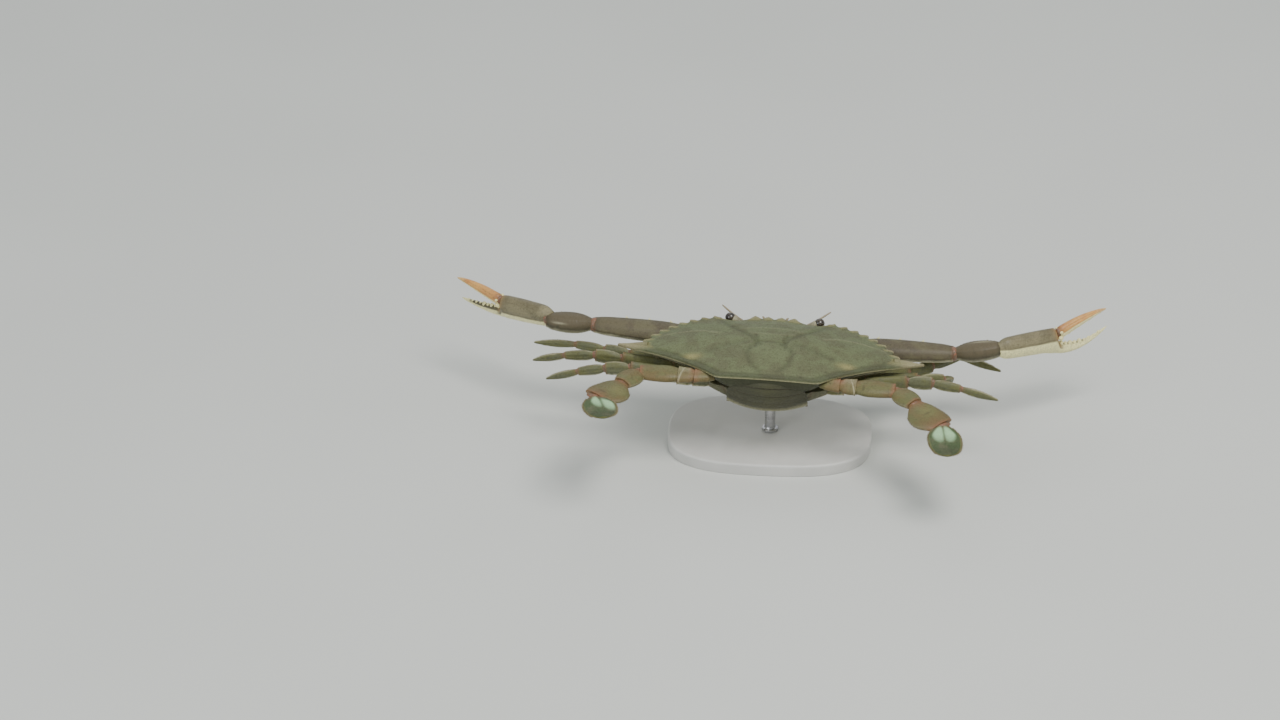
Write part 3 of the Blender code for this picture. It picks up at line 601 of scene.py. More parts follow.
def chain(root, turns, lengths, side, faces):
    """The pieces of one limb, each starting where the last one ends."""
    start = np.array(root, float) * (side, 1, 1)
    pieces = []
    for (forward, up), length, face in zip(turns, lengths, faces):
        pieces.append(Piece(start, heading(forward, up, side), length, face))
        start = pieces[-1].end
    return pieces


def oval(turn, edge):
    """A round section whose sides are flatter the further edge lies from 1."""
    return powered(np.cos(turn), edge), powered(np.sin(turn), 1.0 / edge)


def swollen_back(piece, size, t):
    """How far a limb piece's middle line lies across it at t, to swell its rear side."""
    return copysign(size.back, piece.across[1]) * np.sin(pi * np.asarray(t, float))


def segment_rows(piece, size, span, relief, neck=0.80, cuff=1.05, lip=0.9, sides=64, steps=60):
    """Rows of one closed segment between two shares of a limb piece.

    It starts in a narrow rounded neck and ends in a flared cuff. relief(s, turn) adds height in
    millimetres, with s from 0 to 1 along the segment. Returns the rows, s and the turn.
    """
    low, high = span
    turn = turns_round(sides)[None, :]
    body, whole = np.linspace(0.0, 1.0, steps + 1), np.ones(steps + 1)
    s = np.concatenate([[0.0] * 4, body, [1.0] * 4])[:, None]
    shrink = np.concatenate([NECK_SHRINK, whole, CUFF_SHRINK])[:, None]
    push = np.concatenate([NECK_PUSH, whole, CUFF_PUSH])[:, None]
    t = low + (high - low) * s
    share = swell(size, t)
    taper = 1.0 - (1.0 - neck) * bump(s, 0.0, 0.16) + (cuff - 1.0) * bump(1 - s, 0.0, 0.07)
    w, h = oval(turn, size.edge)
    wide = size.wide * share * taper
    thin = thinness(size, share) * taper
    ends = smooth(s, 0.0, 0.04) * smooth(1 - s, 0.0, 0.03)
    scale = shrink + relief(s, turn) / np.maximum(wide, 0.5) * ends
    along = piece.length * t + (push - 1.0) * lip * np.where(s < 0.5, 1.0, -1.0)
    rows = piece.at(along, swollen_back(piece, size, t) + wide * w * scale, thin * h * scale)
    return rows, *np.broadcast_arrays(s, turn)


def upness(piece, turn):
    """How much the skin at that turn of the piece looks up, from -1 to 1."""
    return piece.across[2] * np.cos(turn) + piece.face[2] * np.sin(turn)


def ridge(turn, centre, width):
    """A ridge along the piece at one turn of it."""
    away = (turn - centre + pi) % TURN - pi
    return bump(away, 0.0, width)


def noise_rows(s, turn, seed):
    """A slow wander over a segment's skin, from -1 to 1: a sum of a few waves."""
    random = np.random.default_rng(seed)
    total = np.zeros(np.broadcast(s, turn).shape)
    waves = 9
    for _ in range(waves):
        a, b = random.integers(1, 6), random.integers(1, 4)
        total += np.sin(TURN * a * s + random.uniform(0, TURN)) * np.cos(b * turn + random.uniform(0, TURN))
    return total / waves * 1.6


def limb_paint(piece, s, turn, seed, pale_from, red_ends, ends=(0.05, 0.09)):
    """Olive above, ivory below, and red towards the joints."""
    up = upness(piece, turn)
    wander = noise_rows(s, turn, seed)
    pale = smooth(-up + 0.18 * wander, -pale_from, 0.62 - pale_from)
    red = red_ends[0] * bump(s, 0.0, ends[0]) + red_ends[1] * smooth(s + 0.03 * wander, 1 - ends[1], 1.0)
    dark = 0.5 * smooth(wander, 0.35, 0.9)
    return paint_like(s.shape, pale=pale, red=red, dark=dark)


def membrane(skin, before, after, size, grow, deep=0.62):
    """The soft red joint between two limb pieces."""
    axis = unit(before.axis + after.axis)
    across = unit(np.cross(axis, before.face))
    face = np.cross(across, axis)
    end = swell(size, 1.0)
    wide, thin = size.wide * end * grow, thinness(size, end) * grow
    centre = (before.end + after.start) / 2
    skin.ball(centre, (across, face, axis), (wide, thin, min(wide, thin) * deep + 0.9), SOFT_RED)


def root_seams(skin, piece, size, roots, grow, flat, thick):
    """The soft rings between the short root joints of a limb piece."""
    for share in roots[1:3]:
        seam = piece.start + piece.axis * piece.length * share
        wide = size.wide * float(swell(size, share)) * grow
        skin.ball(seam, (piece.across, piece.face, piece.axis), (wide, wide * flat, thick), SOFT_RED)


# ---- shell


def on_arc(a, b, t, bow):
    """The point at t on a shallow arc from a to b that bows out to its side."""
    x, y = a[0] + (b[0] - a[0]) * t, a[1] + (b[1] - a[1]) * t
    out = 4.0 * bow * t * (1.0 - t) / hypot(b[0] - a[0], b[1] - a[1])
    return x + (b[1] - a[1]) * out, y - (b[0] - a[0]) * out


def shell_corners():
    """Left half of the shell's outline, front to rear: (edge, line inside it, roundness)."""
    front, rear = -SHELL_LENGTH / 2, SHELL_LENGTH / 2
    corners = [
        ((0.0, front + 3.0), (0.0, front + 4.0), 0.6),
        ((3.3, front + 0.3), (3.3, front + 4.0), 0.5),
        ((6.2, front + 3.0), (6.2, front + 4.0), 0.6),
        ((9.8, front), (9.8, front + 4.2), 0.5),
        ((12.4, front + 3.8), (12.4, front + 5.2), 0.7),
        ((17.5, front + 6.0), (17.5, front + 6.8), 1.0),
        ((23.0, front + 5.8), (23.0, front + 6.8), 1.0),
        ((27.5, front + 4.4), (27.2, front + 6.2), 0.6),
    ]
    gaps = SIDE_TEETH - 1
    for k in range(SIDE_TEETH):
        tip = on_arc(FIRST_TOOTH, LAST_TOOTH, k / gaps, ARCH)
        inner = on_arc(FIRST_TOOTH, LAST_TOOTH, k / gaps, ARCH - TOOTH_NOTCH)
        shrink = 1.0 - TOOTH_NOTCH / hypot(*tip)
        corners.append((tip, (tip[0] * shrink, inner[1] * shrink), 0.25))
        for share, depth in ((0.30, 0.62), (0.68, 1.0)):
            x, y = on_arc(FIRST_TOOTH, LAST_TOOTH, min((k + share) / gaps, 1.06), ARCH)
            cut = 1.0 - depth * TOOTH_NOTCH / hypot(x, y)
            inside = cut - 0.4 / hypot(x, y)
            corners.append(((x * cut, y * cut), (x * inside, y * inside), 0.6))
    corners += [
        ((67.5, 0.2), (61.0, 1.2), 0.5),
        ((SHELL_WIDTH / 2, -0.6), (61.6, 2.6), 0.1),
        ((68.5, 3.2), (61.2, 4.2), 0.5),
    ]
    for k in range(7):
        x, y = on_arc((62.0, 6.6), REAR_CORNER, k / 6, -1.6)
        corners.append(((x, y), (x * 0.975, y * 0.975), 1.0))
    corners += [((x, rear), (x, rear - 1.0), 1.0) for x in (19.0, 12.0, 5.0, 0.0)]
    return corners


def shell_outline(fine):
    """The whole outline, fine points to each corner: the edge and the line inside it."""
    half = shell_corners()
    full = half + [((-e[0], e[1]), (-s[0], s[1]), q) for e, s, q in half[-2:0:-1]]
    edge = np.array([e for e, _, _ in full], float)
    inside = np.array([s for _, s, _ in full], float)
    rounding = np.array([q for _, _, q in full], float)
    count = len(full) * fine
    t = np.arange(count) / fine
    k, share = t.astype(int), (t - t.astype(int))[:, None]
    nearest = np.roll(edge, -1, axis=0)
    window = 4 * fine
    ring = curve_through(inside, count, closed=True)
    wrapped = np.vstack([ring[-window:], ring, ring[:window]])
    weights = np.hanning(2 * window + 1)
    weights /= weights.sum()
    soft_ring = np.stack([np.convolve(wrapped[:, a], weights, mode="valid") for a in (0, 1)], axis=-1)
    calm = smooth(ring[:, 1], 3.0, 9.0)[:, None]
    ring = soft_ring * (1 - calm) + ring * calm
    straight = edge[k] * (1 - share) + nearest[k] * share
    soft = (rounding[k] * (1 - share[:, 0]) + np.roll(rounding, -1)[k] * share[:, 0])[:, None]
    smooth_edge = curve_through(edge, count, closed=True)
    return straight * (1 - soft) + smooth_edge * soft, ring


def rim_height(x):
    """How far the shell's edge drops towards its sides."""
    return -SIDE_DROP * (2.0 * x / SHELL_WIDTH) ** 2


def line_mark(x, y, points, width):
    """1 on a line over the shell, falling off beside it. The line is on both halves."""
    line = curve_through(points, 48)
    away = np.full(np.shape(x), 1e9)
    for px, py in line:
        away = np.minimum(away, (np.abs(x) - px) ** 2 + (y - py) ** 2)
    return np.exp(-away / width**2)


def lobe(x, y, cx, cy, rx, ry):
    """1 on a round rise on each half of the shell, falling off round it."""
    return np.exp(-(((np.abs(x) - cx) / rx) ** 2) - ((y - cy) / ry) ** 2)


def shell_relief(x, y, depth):
    """Height of the shell's regions, and the marks of its ridges and grooves."""
    height = np.zeros(np.shape(x))
    ridges, grooves = np.zeros(np.shape(x)), np.zeros(np.shape(x))
    for cx, cy, rx, ry, up in SHELL_LOBES:
        height += up * lobe(x, y, cx, cy, rx, ry)
    for points, width, deep in SHELL_GROOVES:
        mark = line_mark(x, y, points, width)
        height -= deep * mark
        grooves = np.maximum(grooves, mark * deep / 0.7)
    for points, width, up in SHELL_RIDGES:
        mark = line_mark(x, y, points, width)
        beads = 0.75 + 0.25 * np.sin(TURN * np.hypot(x, y) / 1.3)
        height += up * mark * beads
        ridges = np.maximum(ridges, mark * up / 0.55)
    return height * depth * RELIEF_SHARE, ridges, grooves


def shell_dome(edge, inside, relief_depth):
    """The shell's upper side, from its middle to its edge: sets of x, y, z and paint."""
    tooth = np.hypot(edge[:, 0] - inside[:, 0], edge[:, 1] - inside[:, 1])
    on_rear = smooth(edge[:, 1], 2.0, 8.0)
    teeth = smooth(tooth, 1.2, 2.6) * (1 - on_rear)
    dome = SHELL_DOME_TOP - SKIN_DEPTH
    for r in np.linspace(0.012, 0.95, 79):
        x, y = inside[:, 0] * r, inside[:, 1] * r
        relief, ridges, grooves = shell_relief(x, y, relief_depth * smooth(1 - r, 0.0, 0.12))
        furrow = on_rear * smooth(r, 0.915, 0.945)
        z = dome * (1.0 - r**1.7) + rim_height(x) + relief - 0.35 * furrow
        spot = 0.95 * lobe(x, y, *REAR_SPOT)
        yellow = np.maximum(0.22 * smooth(-y, 18.0, 30.0), spot)
        # The grooves and the furrow before the rear rim are darkened with painted shade.
        yield x, y, z, (0.14 * ridges + 0.12 * spot, 0.0, yellow, 0.45 * grooves + 0.45 * furrow)
    for q in np.linspace(0.12, 0.9, 9):
        x, y = (inside[:, a] * 0.95 * (1 - q) + edge[:, a] * q for a in (0, 1))
        z = dome * (1 - 0.95**1.7) * (1 - q) + rim_height(x) + 0.35 * teeth * sin(pi * q)
        z = z - 0.35 * on_rear * (1 - q)
        # Painted shade over the rear's outer band, where the furrow runs out.
        yield x, y, z, (0.35 * q * teeth, 0.15 * teeth * q, 0.45 * teeth, 0.45 * on_rear)
    out = unit(edge)
    for turn in np.linspace(90, -90, 17):
        c, s = cos(radians(turn)), sin(radians(turn))
        x, y = (edge[:, a] - out[:, a] * 0.7 * (1 - c) for a in (0, 1))
        line = on_rear * bump(turn, -22.0, 26.0)
        # Painted shade on the rear rim's side, deepest on its underside, leaving out the pale line.
        dark = on_rear * (0.40 + 0.45 * smooth(-turn, 50.0, 80.0)) * (1 - line)
        paint = (0.40 * teeth + 0.42 * line, 0.15 * teeth, 0.4 * teeth + 0.7 * line, dark)
        yield x, y, rim_height(x) - RIM_HALF + RIM_HALF * s, paint


def shell_closing(inside):
    """The shell's lower side, from its edge to its middle, darkened at its rear with painted shade."""
    for share, z in SHELL_CLOSING:
        x, y = inside[:, 0] * share, inside[:, 1] * min(share * 1.12, 1.0)
        # Painted shade darkens the rear of the lower side in place of its ivory.
        rear_shade = smooth(y, 5.0, 16.0)
        yield x, y, z + rim_height(x) * smooth(share, 0.8, 0.95), (0.9 * (1 - rear_shade), 0.0, 0.0, 0.9 * rear_shade)


def shell_spines(skin):
    """The long spine and the teeth on each side of the shell."""
    for sign in (1, -1):
        skin.horn((60.0 * sign, 2.0, -3.0), (14.9 * sign, -2.7, -1.6), 15.1, 2.1,
                  (0.10, 0.1, 0.25, 0), (0.60, 0.25, 0.1, 0), blunt=1.25, sides=28, steps=26)
        for k in range(SIDE_TEETH):
            tip = np.array(on_arc(FIRST_TOOTH, LAST_TOOTH, k / (SIDE_TEETH - 1), ARCH))
            root = tip * (1.0 - 4.4 / np.hypot(*tip))
            height = rim_height(tip[0]) - RIM_HALF + 0.1
            start = np.array((root[0] * sign, root[1], height))
            end = np.array((tip[0] * sign, tip[1], height))
            skin.horn(start, end - start, np.linalg.norm(end - start) - 0.1, 1.5,
                      (0.0, 0.1, 0.5, 0), (0.60, 0.2, 0.4, 0), blunt=1.5, sides=20, steps=14)


def make_shell(look):
    """The upper shell with its lobes, ridges, toothed edge and side spines."""
    skin = Skin()
    edge, inside = shell_outline(SHELL_FINE)
    rows, paints = [], []
    for x, y, z, paint in (*shell_dome(edge, inside, look.relief), *shell_closing(inside)):
        rows.append(xyz(x, y, z))
        paints.append(paint_like(x.shape, *paint))
    skin.grid(rows, paints)
    shell_spines(skin)
    skin.dressed("shell_top", look.shell, "shell", "carapace", sharp=50)


# ---- body


def make_trunk(look):
    """The body under the shell, with the seams of its breastplates and painted shade over its rear."""
    skin = Skin()
    high = curve_through(BODY_LEVELS, 34)
    closing = [high[-1] * (1, q, q, q) + (-drop, 0, 0, 0) for q, drop in TRUNK_CLOSING]
    high = np.vstack([[TRUNK_TOP], high, closing])
    c, s = oval(turns_round(240), 0.85)
    rows, paints = [], []
    for height, half, front, rear in high:
        x, y = half * c, (front + rear) / 2 + (rear - front) / 2 * s
        fan = np.arctan2(y - 4.0, np.abs(x) + 1e-6)
        seam = np.zeros_like(x)
        for centre in TRUNK_SEAMS:
            seam = np.maximum(seam, bump(fan, centre, 0.035))
        seam *= smooth(np.abs(x), 6.0, 10.0)
        swellings = 0.35 * np.cos((fan - 0.18) * TURN / 0.32) * smooth(np.abs(x), 8.0, 20.0)
        out = unit(np.stack([x, y - 3.0], axis=-1))
        push = (swellings - 0.8 * seam) * 0.8
        rows.append(xyz(x + out[:, 0] * push, y + out[:, 1] * push, height))
        # Painted shade over the rear of the body.
        rear_shade = smooth(y, 6.0, 15.0)
        dark = 0.35 * seam + 0.65 * rear_shade
        paints.append(paint_like(x.shape, 0.9 - 0.8 * rear_shade, 0.12 * seam, 0.0, dark))
    skin.grid(rows, paints)
    skin.dressed("trunk_underside", look.underside, "underside", "thorax", sharp=60)


def flap_frame(count):
    """Points down the middle line of the tail flap, each with its FLAP_LINE sizes, and the ways out."""
    line = curve_through(FLAP_LINE, count)
    along = unit(np.gradient(line[:, :2], axis=0))
    return line, np.stack([-along[:, 1], along[:, 0]], axis=-1)


def make_flap(look):
    """The broad tail flap: overlapping plates, folded under the body, with painted shade over its upper
    plates at the rear.
    """
    skin = Skin()
    count = 220
    line, out = flap_frame(count)
    t = np.linspace(0, 1, count)
    step, seam = np.zeros(count), np.zeros(count)
    for a, b in zip((0.0,) + FLAP_JOINTS, FLAP_JOINTS + (1.0,)):
        inside = (t >= a) & (t < b)
        step[inside] = (t[inside] - a) / (b - a)
    for joint in FLAP_JOINTS:
        seam = np.maximum(seam, bump(t, joint, 0.006))
    turn = turns_round(72)
    w, h = powered(np.cos(turn), 0.8), powered(np.sin(turn), 0.7)
    middle = bump(w, 0.0, 0.30)
    rows, paints = [], []
    for k, (y, z, half, wrap) in enumerate(line):
        under = float(smooth(t[k], 0.30, 0.45))
        scallop = 1.0 - 0.030 * under * (1 - sin(pi * min(1.0, step[k] * 1.05)) ** 0.5)
        sag = wrap * half * w * w
        thick = FLAP_THICKNESS / 2 * (1.0 - 0.45 * np.abs(w) ** 3)
        rise = 0.42 * (smooth(step[k], 0.0, 0.55) - 0.5) - 0.30 * seam[k]
        level = h * thick - sag + np.where(h > 0, rise * (1 - 0.5 * np.abs(w)), 0.0)
        rows.append(xyz(half * w * scallop * FLAP_SLIM, y + out[k, 0] * level, z + out[k, 1] * level))
        # Painted shade over the upper plates at the rear.
        rear_shade = 1.0 - smooth(t[k], 0.38, 0.60)
        pale = (1.0 - 0.97 * rear_shade) * (0.85 + 0.15 * np.abs(w))
        dark = 0.96 * rear_shade * (1 - 0.14 * middle) + 0.45 * seam[k]
        paints.append(paint_like(w.shape, pale, 0.10 * seam[k], 0.35 * (1 - rear_shade) * middle, dark))
    skin.grid(rows, paints)
    skin.dressed("tail_flap", look.underside, "underside", "abdomen", sharp=60)


def make_mouth_frame(look):
    """The block between the eyes, ribbed in front."""
    skin = Skin()
    half_width, top, bottom, face, back = MOUTH_FRAME
    turn = turns_round(120)
    c, s = oval(turn, 0.7)
    rows = []
    for t, tuck in MOUTH_LEVELS:
        front = face + 2.0 * t
        middle, reach = (front + back) / 2, (back - front) / 2 * tuck
        ribs = 0.25 * np.cos(turn * 9) * smooth(-s, 0.2, 0.8)
        height = top + (bottom - top) * t
        half = half_width * (1.0 - 0.15 * t) * tuck
        rows.append(xyz(half * c, middle + (reach + ribs) * s, height))
    rows = np.array(rows)
    skin.grid(rows, paint_like(rows.shape[:2], 0.75, 0.12, 0.0, 0.25))
    skin.dressed("mouth_frame", look.underside, "underside", "epistome", sharp=45)


def jaw_place(t):
    """A jaw plate at t from top to bottom: height, front and share of its full width."""
    jaw = JAW_PLATE
    height = jaw["top"] + (jaw["bottom"] - jaw["top"]) * t
    front = jaw["front"] + jaw["slope"] * t * t - 1.2 * np.sin(pi * t)
    return height, front, 0.62 + 0.38 * np.sin(pi * np.minimum(1.0, 0.15 + 0.8 * t))


def make_jaw_plate(look, side, suffix):
    """One outer mouth plate, with its joint, its groove and its palp."""
    skin = Skin()
    middle, half = JAW_PLATE["middle"], JAW_PLATE["half"]
    c, s = oval(turns_round(96), 0.8)
    rows, paints = [], []
    for t in np.linspace(0, 1, 60):
        height, front, share = jaw_place(t)
        share *= 1.0 - 0.55 * (1 - sqrt(max(0.0, 1 - (2 * abs(t - 0.5)) ** 8)))
        joint = bump(t, 0.40, 0.018)
        groove = bump(c, 0.25, 0.14) * smooth(t, 0.42, 0.5) * (s < 0)
        thick = JAW_PLATE["thickness"] / 2 * (1 - 0.25 * joint) * s + 0.45 * groove
        rows.append(xyz(side * (middle + half * share * c), front + thick, height))
        # The groove is darkened with painted shade.
        paints.append(paint_like(c.shape, 0.85, 0.1, 0.0, 0.3 * joint + 0.4 * groove))
    skin.grid(rows, paints)
    palp = curve_through(PALP_LINE, 26) * (side, 1, 1)
    tube_rows(skin, palp, np.linspace(1.3, 0.55, 26), 18, (0.8, 0.2, 0, 0))
    skin.dressed(f"jaw_plate_{suffix}", look.underside, "underside", f"maxilliped_{suffix}", sharp=50)


def make_mouth(look):
    """The block between the eyes and the two outer mouth plates."""
    make_mouth_frame(look)
    for side, suffix in SIDES:
        make_jaw_plate(look, side, suffix)


# ---- face


def tube_rows(skin, line, radii, sides, paint):
    """A round tube along a line, with a radius and a paint for each point or for all."""
    line = np.asarray(line, float)
    along = unit(np.gradient(line, axis=0))
    a = unit(np.cross(along, (0.0, 0.0, 1.0)))
    b = np.cross(along, a)
    turn = turns_round(sides)[None, :, None]
    spread = a[:, None, :] * np.cos(turn) + b[:, None, :] * np.sin(turn)
    rows = line[:, None, :] + spread * np.asarray(radii)[:, None, None]
    skin.grid(rows, np.reshape(paint, (-1, 1, 4)))


def ringed_feeler(name, look, line, radii, joints, node):
    """A feeler of many short joints, each a little wider at its far end."""
    skin = Skin()
    count = joints * 6
    t = np.linspace(0, 1, count)
    saw = (t * joints) % 1.0
    place = np.interp(t, np.linspace(0, 1, len(radii)), radii)
    paint = paint_like(t.shape, 0.35 + 0.35 * saw, 0.35, 0.0, 0.55 * (1 - saw) ** 4)
    tube_rows(skin, curve_through(line, count), place * (0.90 + 0.16 * saw**2), 14, paint)
    skin.dressed(name, look.claw, "claw", node)


def make_eye(look, side, suffix):
    """One eye on its jointed stalk."""
    root, eye = np.array(STALK_ROOT) * (side, 1, 1), np.array(EYE_CENTRE) * (side, 1, 1)
    along = unit(eye - root)
    side_way = unit(np.cross(along, (0, 0, 1)))
    up_way = np.cross(side_way, along)
    skin = Skin()
    t = np.linspace(0, 1, 40)
    line = root + (eye - along * (EYE_RADIUS * 0.55) - root) * t[:, None]
    paint = paint_like(t.shape, 0.25 + 0.35 * smooth(t, 0.7, 1.0), 0.35 * bump(t, 0.42, 0.05))
    tube_rows(skin, line, np.interp(t, STALK_SHARES, STALK_RADII), 32, paint)
    skin.dressed(f"eye_stalk_skin_{suffix}", look.claw, "claw", f"eyestalk_{suffix}", sharp=50)
    skin = Skin()
    radii = (EYE_RADIUS * 0.90, EYE_RADIUS * 0.90, EYE_RADIUS * 0.96)
    skin.ball(eye, (side_way, up_way, along), radii, sides=48, steps=32)
    skin.dressed(f"eye_ball_{suffix}", look.eye, "eye", f"eye_{suffix}")


def make_feelers(look, side, suffix):
    """The long and the short feeler of one side."""
    out = heading(*FEELER_TURN, side)
    base = np.array(FEELER_ROOT) * (side, 1, 1)
    lift = np.array((0.0, 0.0, FEELER_LIFT))
    line = [base + out * FEELER_LENGTH * k / 8 * 0.99 + lift * (k / 8) ** 2 for k in range(9)]
    ringed_feeler(f"feeler_{suffix}", look, line, FEELER_RADII, 30, f"antenna_{suffix}")
    base = np.array(ANTENNULE_ROOT) * (side, 1, 1)
    line = [
        base + np.array((side * 2.2 * k, -ANTENNULE_REACH * k, 3.2 * sin(2.2 * k)))
        for k in (0.0, 0.25, 0.5, 0.75, 0.99)
    ]
    ringed_feeler(f"small_feeler_{suffix}", look, line, ANTENNULE_RADII, 14, f"antennule_{suffix}")


def make_face(look):
    """The eyes on their jointed stalks, and the two pairs of feelers."""
    for side, suffix in SIDES:
        make_eye(look, side, suffix)
        make_feelers(look, side, suffix)


# ---- claws


def blended(first, second, share):
    """Between two measures, by a share."""
    return first * (1 - share) + second * share


def palm_outline(reach, suffix):
    """Top, bottom and half thickness of one hand's palm and fixed finger at each reach."""
    reach = np.asarray(reach, float)
    t = np.clip(reach / PALM_LENGTH, 0, 1)
    low, high = PALM_HEIGHTS
    half = low + (high - low) * np.sin(0.5 * pi * t)
    thick = PALM_THIN * (0.72 + 0.28 * np.sin(pi * np.minimum(1.0, 0.2 + 0.6 * t)))
    f = np.clip((reach - PALM_LENGTH - FINGER_GAP) / FINGER_LENGTH, 0, 1)
    drop, rise, sag = FINGER_DROP[suffix], FINGER_RISE[suffix], FINGER_SAG[suffix]
    middle = -drop + (rise + drop) * f - 4 * sag * f * (1 - f)
    slim = FINGER_ROOT * (1.0 - FINGER_TAPER[0] * f ** FINGER_TAPER[1])
    top = blended(half, middle + slim, smooth(reach, PALM_LENGTH - 2.6, PALM_LENGTH + 1.8))
    bottom = blended(-half, middle - slim, smooth(reach, PALM_LENGTH - 10.0, PALM_LENGTH + 2.0))
    thick = blended(thick, slim * FINGER_THIN, smooth(reach, PALM_LENGTH - 4.0, PALM_LENGTH + 2.0))
    return top, bottom, thick


def palm_parts(reach):
    """How far each reach lies on the palm, and how far on its fixed finger, each from 0 to 1."""
    on_palm = smooth(-reach, 1.0 - PALM_LENGTH, 5.0 - PALM_LENGTH) * smooth(reach, 1.0, 5.0)
    return on_palm, smooth(reach, PALM_LENGTH + 1.0, PALM_LENGTH + 5.0)


def palm_rows(palm, reach, turn, suffix):
    """The palm's skin, with its beaded ridges and the grooves of its fixed finger."""
    top, bottom, thick = palm_outline(reach, suffix)
    neck = 0.60 + 0.40 * np.sin(0.5 * pi * np.clip((reach - PALM_START) / 5.6, 0, 1))
    tip = np.sqrt(np.clip(1 - smooth(reach, *FINGER_END) ** 2, 0.02, 1))
    half, thick = (top - bottom) / 2 * neck * tip, thick * neck * tip
    on_palm, on_finger = palm_parts(reach)
    beads = 0.65 + 0.35 * np.sin(TURN * reach / 1.15)
    relief = 0 * reach * turn
    for centre in (0.62, pi - 0.62, -0.62, pi + 0.62, 1.35, -1.35):
        relief += 0.30 * ridge(turn, centre, 0.10) * on_palm * beads
        relief -= 0.14 * ridge(turn, centre, 0.30) * on_palm
    for centre in (1.15, -1.15):
        relief -= 0.22 * ridge(turn, centre, 0.30) * on_finger
    w, h = oval(turn, PALM_EDGE)
    wide = half * w * (1 + relief / np.maximum(half, 1.0))
    return palm.at(reach, (top + bottom) / 2 + wide, thick * h * (1 + relief / np.maximum(thick, 1.0)))


def cream_line(palm, h, rear_top):
    """How high the cream reaches on a finger's skin at h across it: up to rear_top on its rear side."""
    return np.where(h * palm.face[1] > 0, rear_top, -0.1) * smooth(np.abs(h), 0.1, 0.7)


def palm_paint(palm, reach, turn, side, suffix):
    """Brown above and cream below, with the fixed finger's cream, and painted shade on its crown, above the
    cream's edge and under the finger's root.
    """
    on_palm, on_finger = palm_parts(reach)
    wander = noise_rows(reach / 60.0, turn, SEEDS["palm"] + (side < 0))
    w, h = oval(turn, PALM_EDGE)
    level = w + 0.07 * wander
    cream_top = cream_line(palm, h, CREAM_TOP[suffix])
    crown_from, crown_reach = CROWN_SHADE[suffix]
    crown_end = PALM_LENGTH + crown_reach
    # Painted shade on the fixed finger's crown, between its teeth.
    crown_shade = on_finger * smooth(level, crown_from, crown_from + 0.22)
    crown_shade = crown_shade * smooth(-reach, -crown_end, 5.0 - crown_end)
    pale = smooth(cream_top - level, -0.03, 0.07) * (1 - on_finger) + on_finger - crown_shade
    red = 0.5 * bump(reach, PALM_LENGTH - 0.6, 2.6) * smooth(level, 0.1, 0.5)
    accent = 0.30 * on_palm * smooth(level, 0.55, 1.0)
    accent = accent + 0.4 * bump(reach, PALM_LENGTH - 2.0, 5.0) * (1 - pale)
    dark = 0.25 * smooth(wander, 0.3, 0.9) * on_palm * (1 - pale) + 0.35 * smooth(reach, *FINGER_TIP_DARK)
    # Painted shade on the finger's crown, in a thin line above the palm's cream, and under the finger's root.
    dark = dark + 0.62 * crown_shade + 0.35 * bump(level - cream_top, 0.10, 0.06) * on_palm
    dark = dark + 0.30 * bump(reach, PALM_LENGTH + 3.0, 7.0) * smooth(-level, 0.25, 0.75)
    return paint_like(wander.shape, pale, red, accent, dark)


def make_palm(look, palm, side, suffix):
    """The palm with its beaded ridges, its fixed finger, teeth, hinge knobs and spine."""
    skin = Skin()
    reach = np.concatenate([
        np.linspace(PALM_START, PALM_LENGTH + 1, 90),
        np.linspace(PALM_LENGTH + 1.4, PALM_LENGTH + FINGER_GAP + FINGER_LENGTH, 90),
    ])[:, None]
    turn = turns_round(96)[None, :]
    skin.grid(palm_rows(palm, reach, turn, suffix), palm_paint(palm, reach, turn, side, suffix))
    for k in range(PALM_TEETH):
        place = PALM_LENGTH + 2.6 + 2.7 * k
        crown = float(palm_outline(place, suffix)[0])
        big = (1.0, 0.7)[k % 2] * (1.0 if k < 5 else 0.45) * CROWN_TEETH[suffix]
        skin.horn(palm.at(place, crown - 0.7, 0.0), palm.across + palm.axis * 0.12, 0.8 + 1.35 * big,
                  0.55 + 0.80 * big, BRIGHT_CREAM, BRIGHT_CREAM, blunt=2.8, sides=22, steps=12)
    for height, size in ((1.5, 1.4), (4.6, 0.9)):
        for front in (1, -1):
            knob = palm.at(PALM_LENGTH + 0.7, height, front * (PALM_THIN * 0.52))
            skin.ball(knob, (palm.axis, palm.across, palm.face), (size, size * 0.8, size * 0.8), BRIGHT_CREAM)
    root = palm.at(PALM_LENGTH * 0.10, PALM_HEIGHTS[0] * 0.62, 0.0)
    skin.horn(root, palm.across * 0.8 + palm.axis, 2.6, 0.95, (0.1, 0.4, 0, 0), (0.95, 0.1, 0, 0), blunt=1.4)
    skin.dressed(f"palm_skin_{suffix}", look.palm, "claw", f"claw_palm_{suffix}", sharp=60)


def thumb_half(share):
    """Half thickness of the moving finger at a share of its length."""
    return THUMB_HALF * (1.0 - THUMB_TAPER[0] * share ** THUMB_TAPER[1])


def thumb_arch(share):
    """How far the moving finger's middle line arches up at a share of its length."""
    return THUMB_ARCH * np.sin(pi * np.clip(share * 1.05, 0, 1))


def thumb_point(palm, gape, share, up, thin):
    """The point at a share of the moving finger's length, up from its line and across it."""
    reach = THUMB_LENGTH * share
    along = PALM_LENGTH + THUMB_START + reach * cos(gape) - up * sin(gape)
    return palm.at(along, THUMB_ROOT + reach * sin(gape) + up * cos(gape), thin)


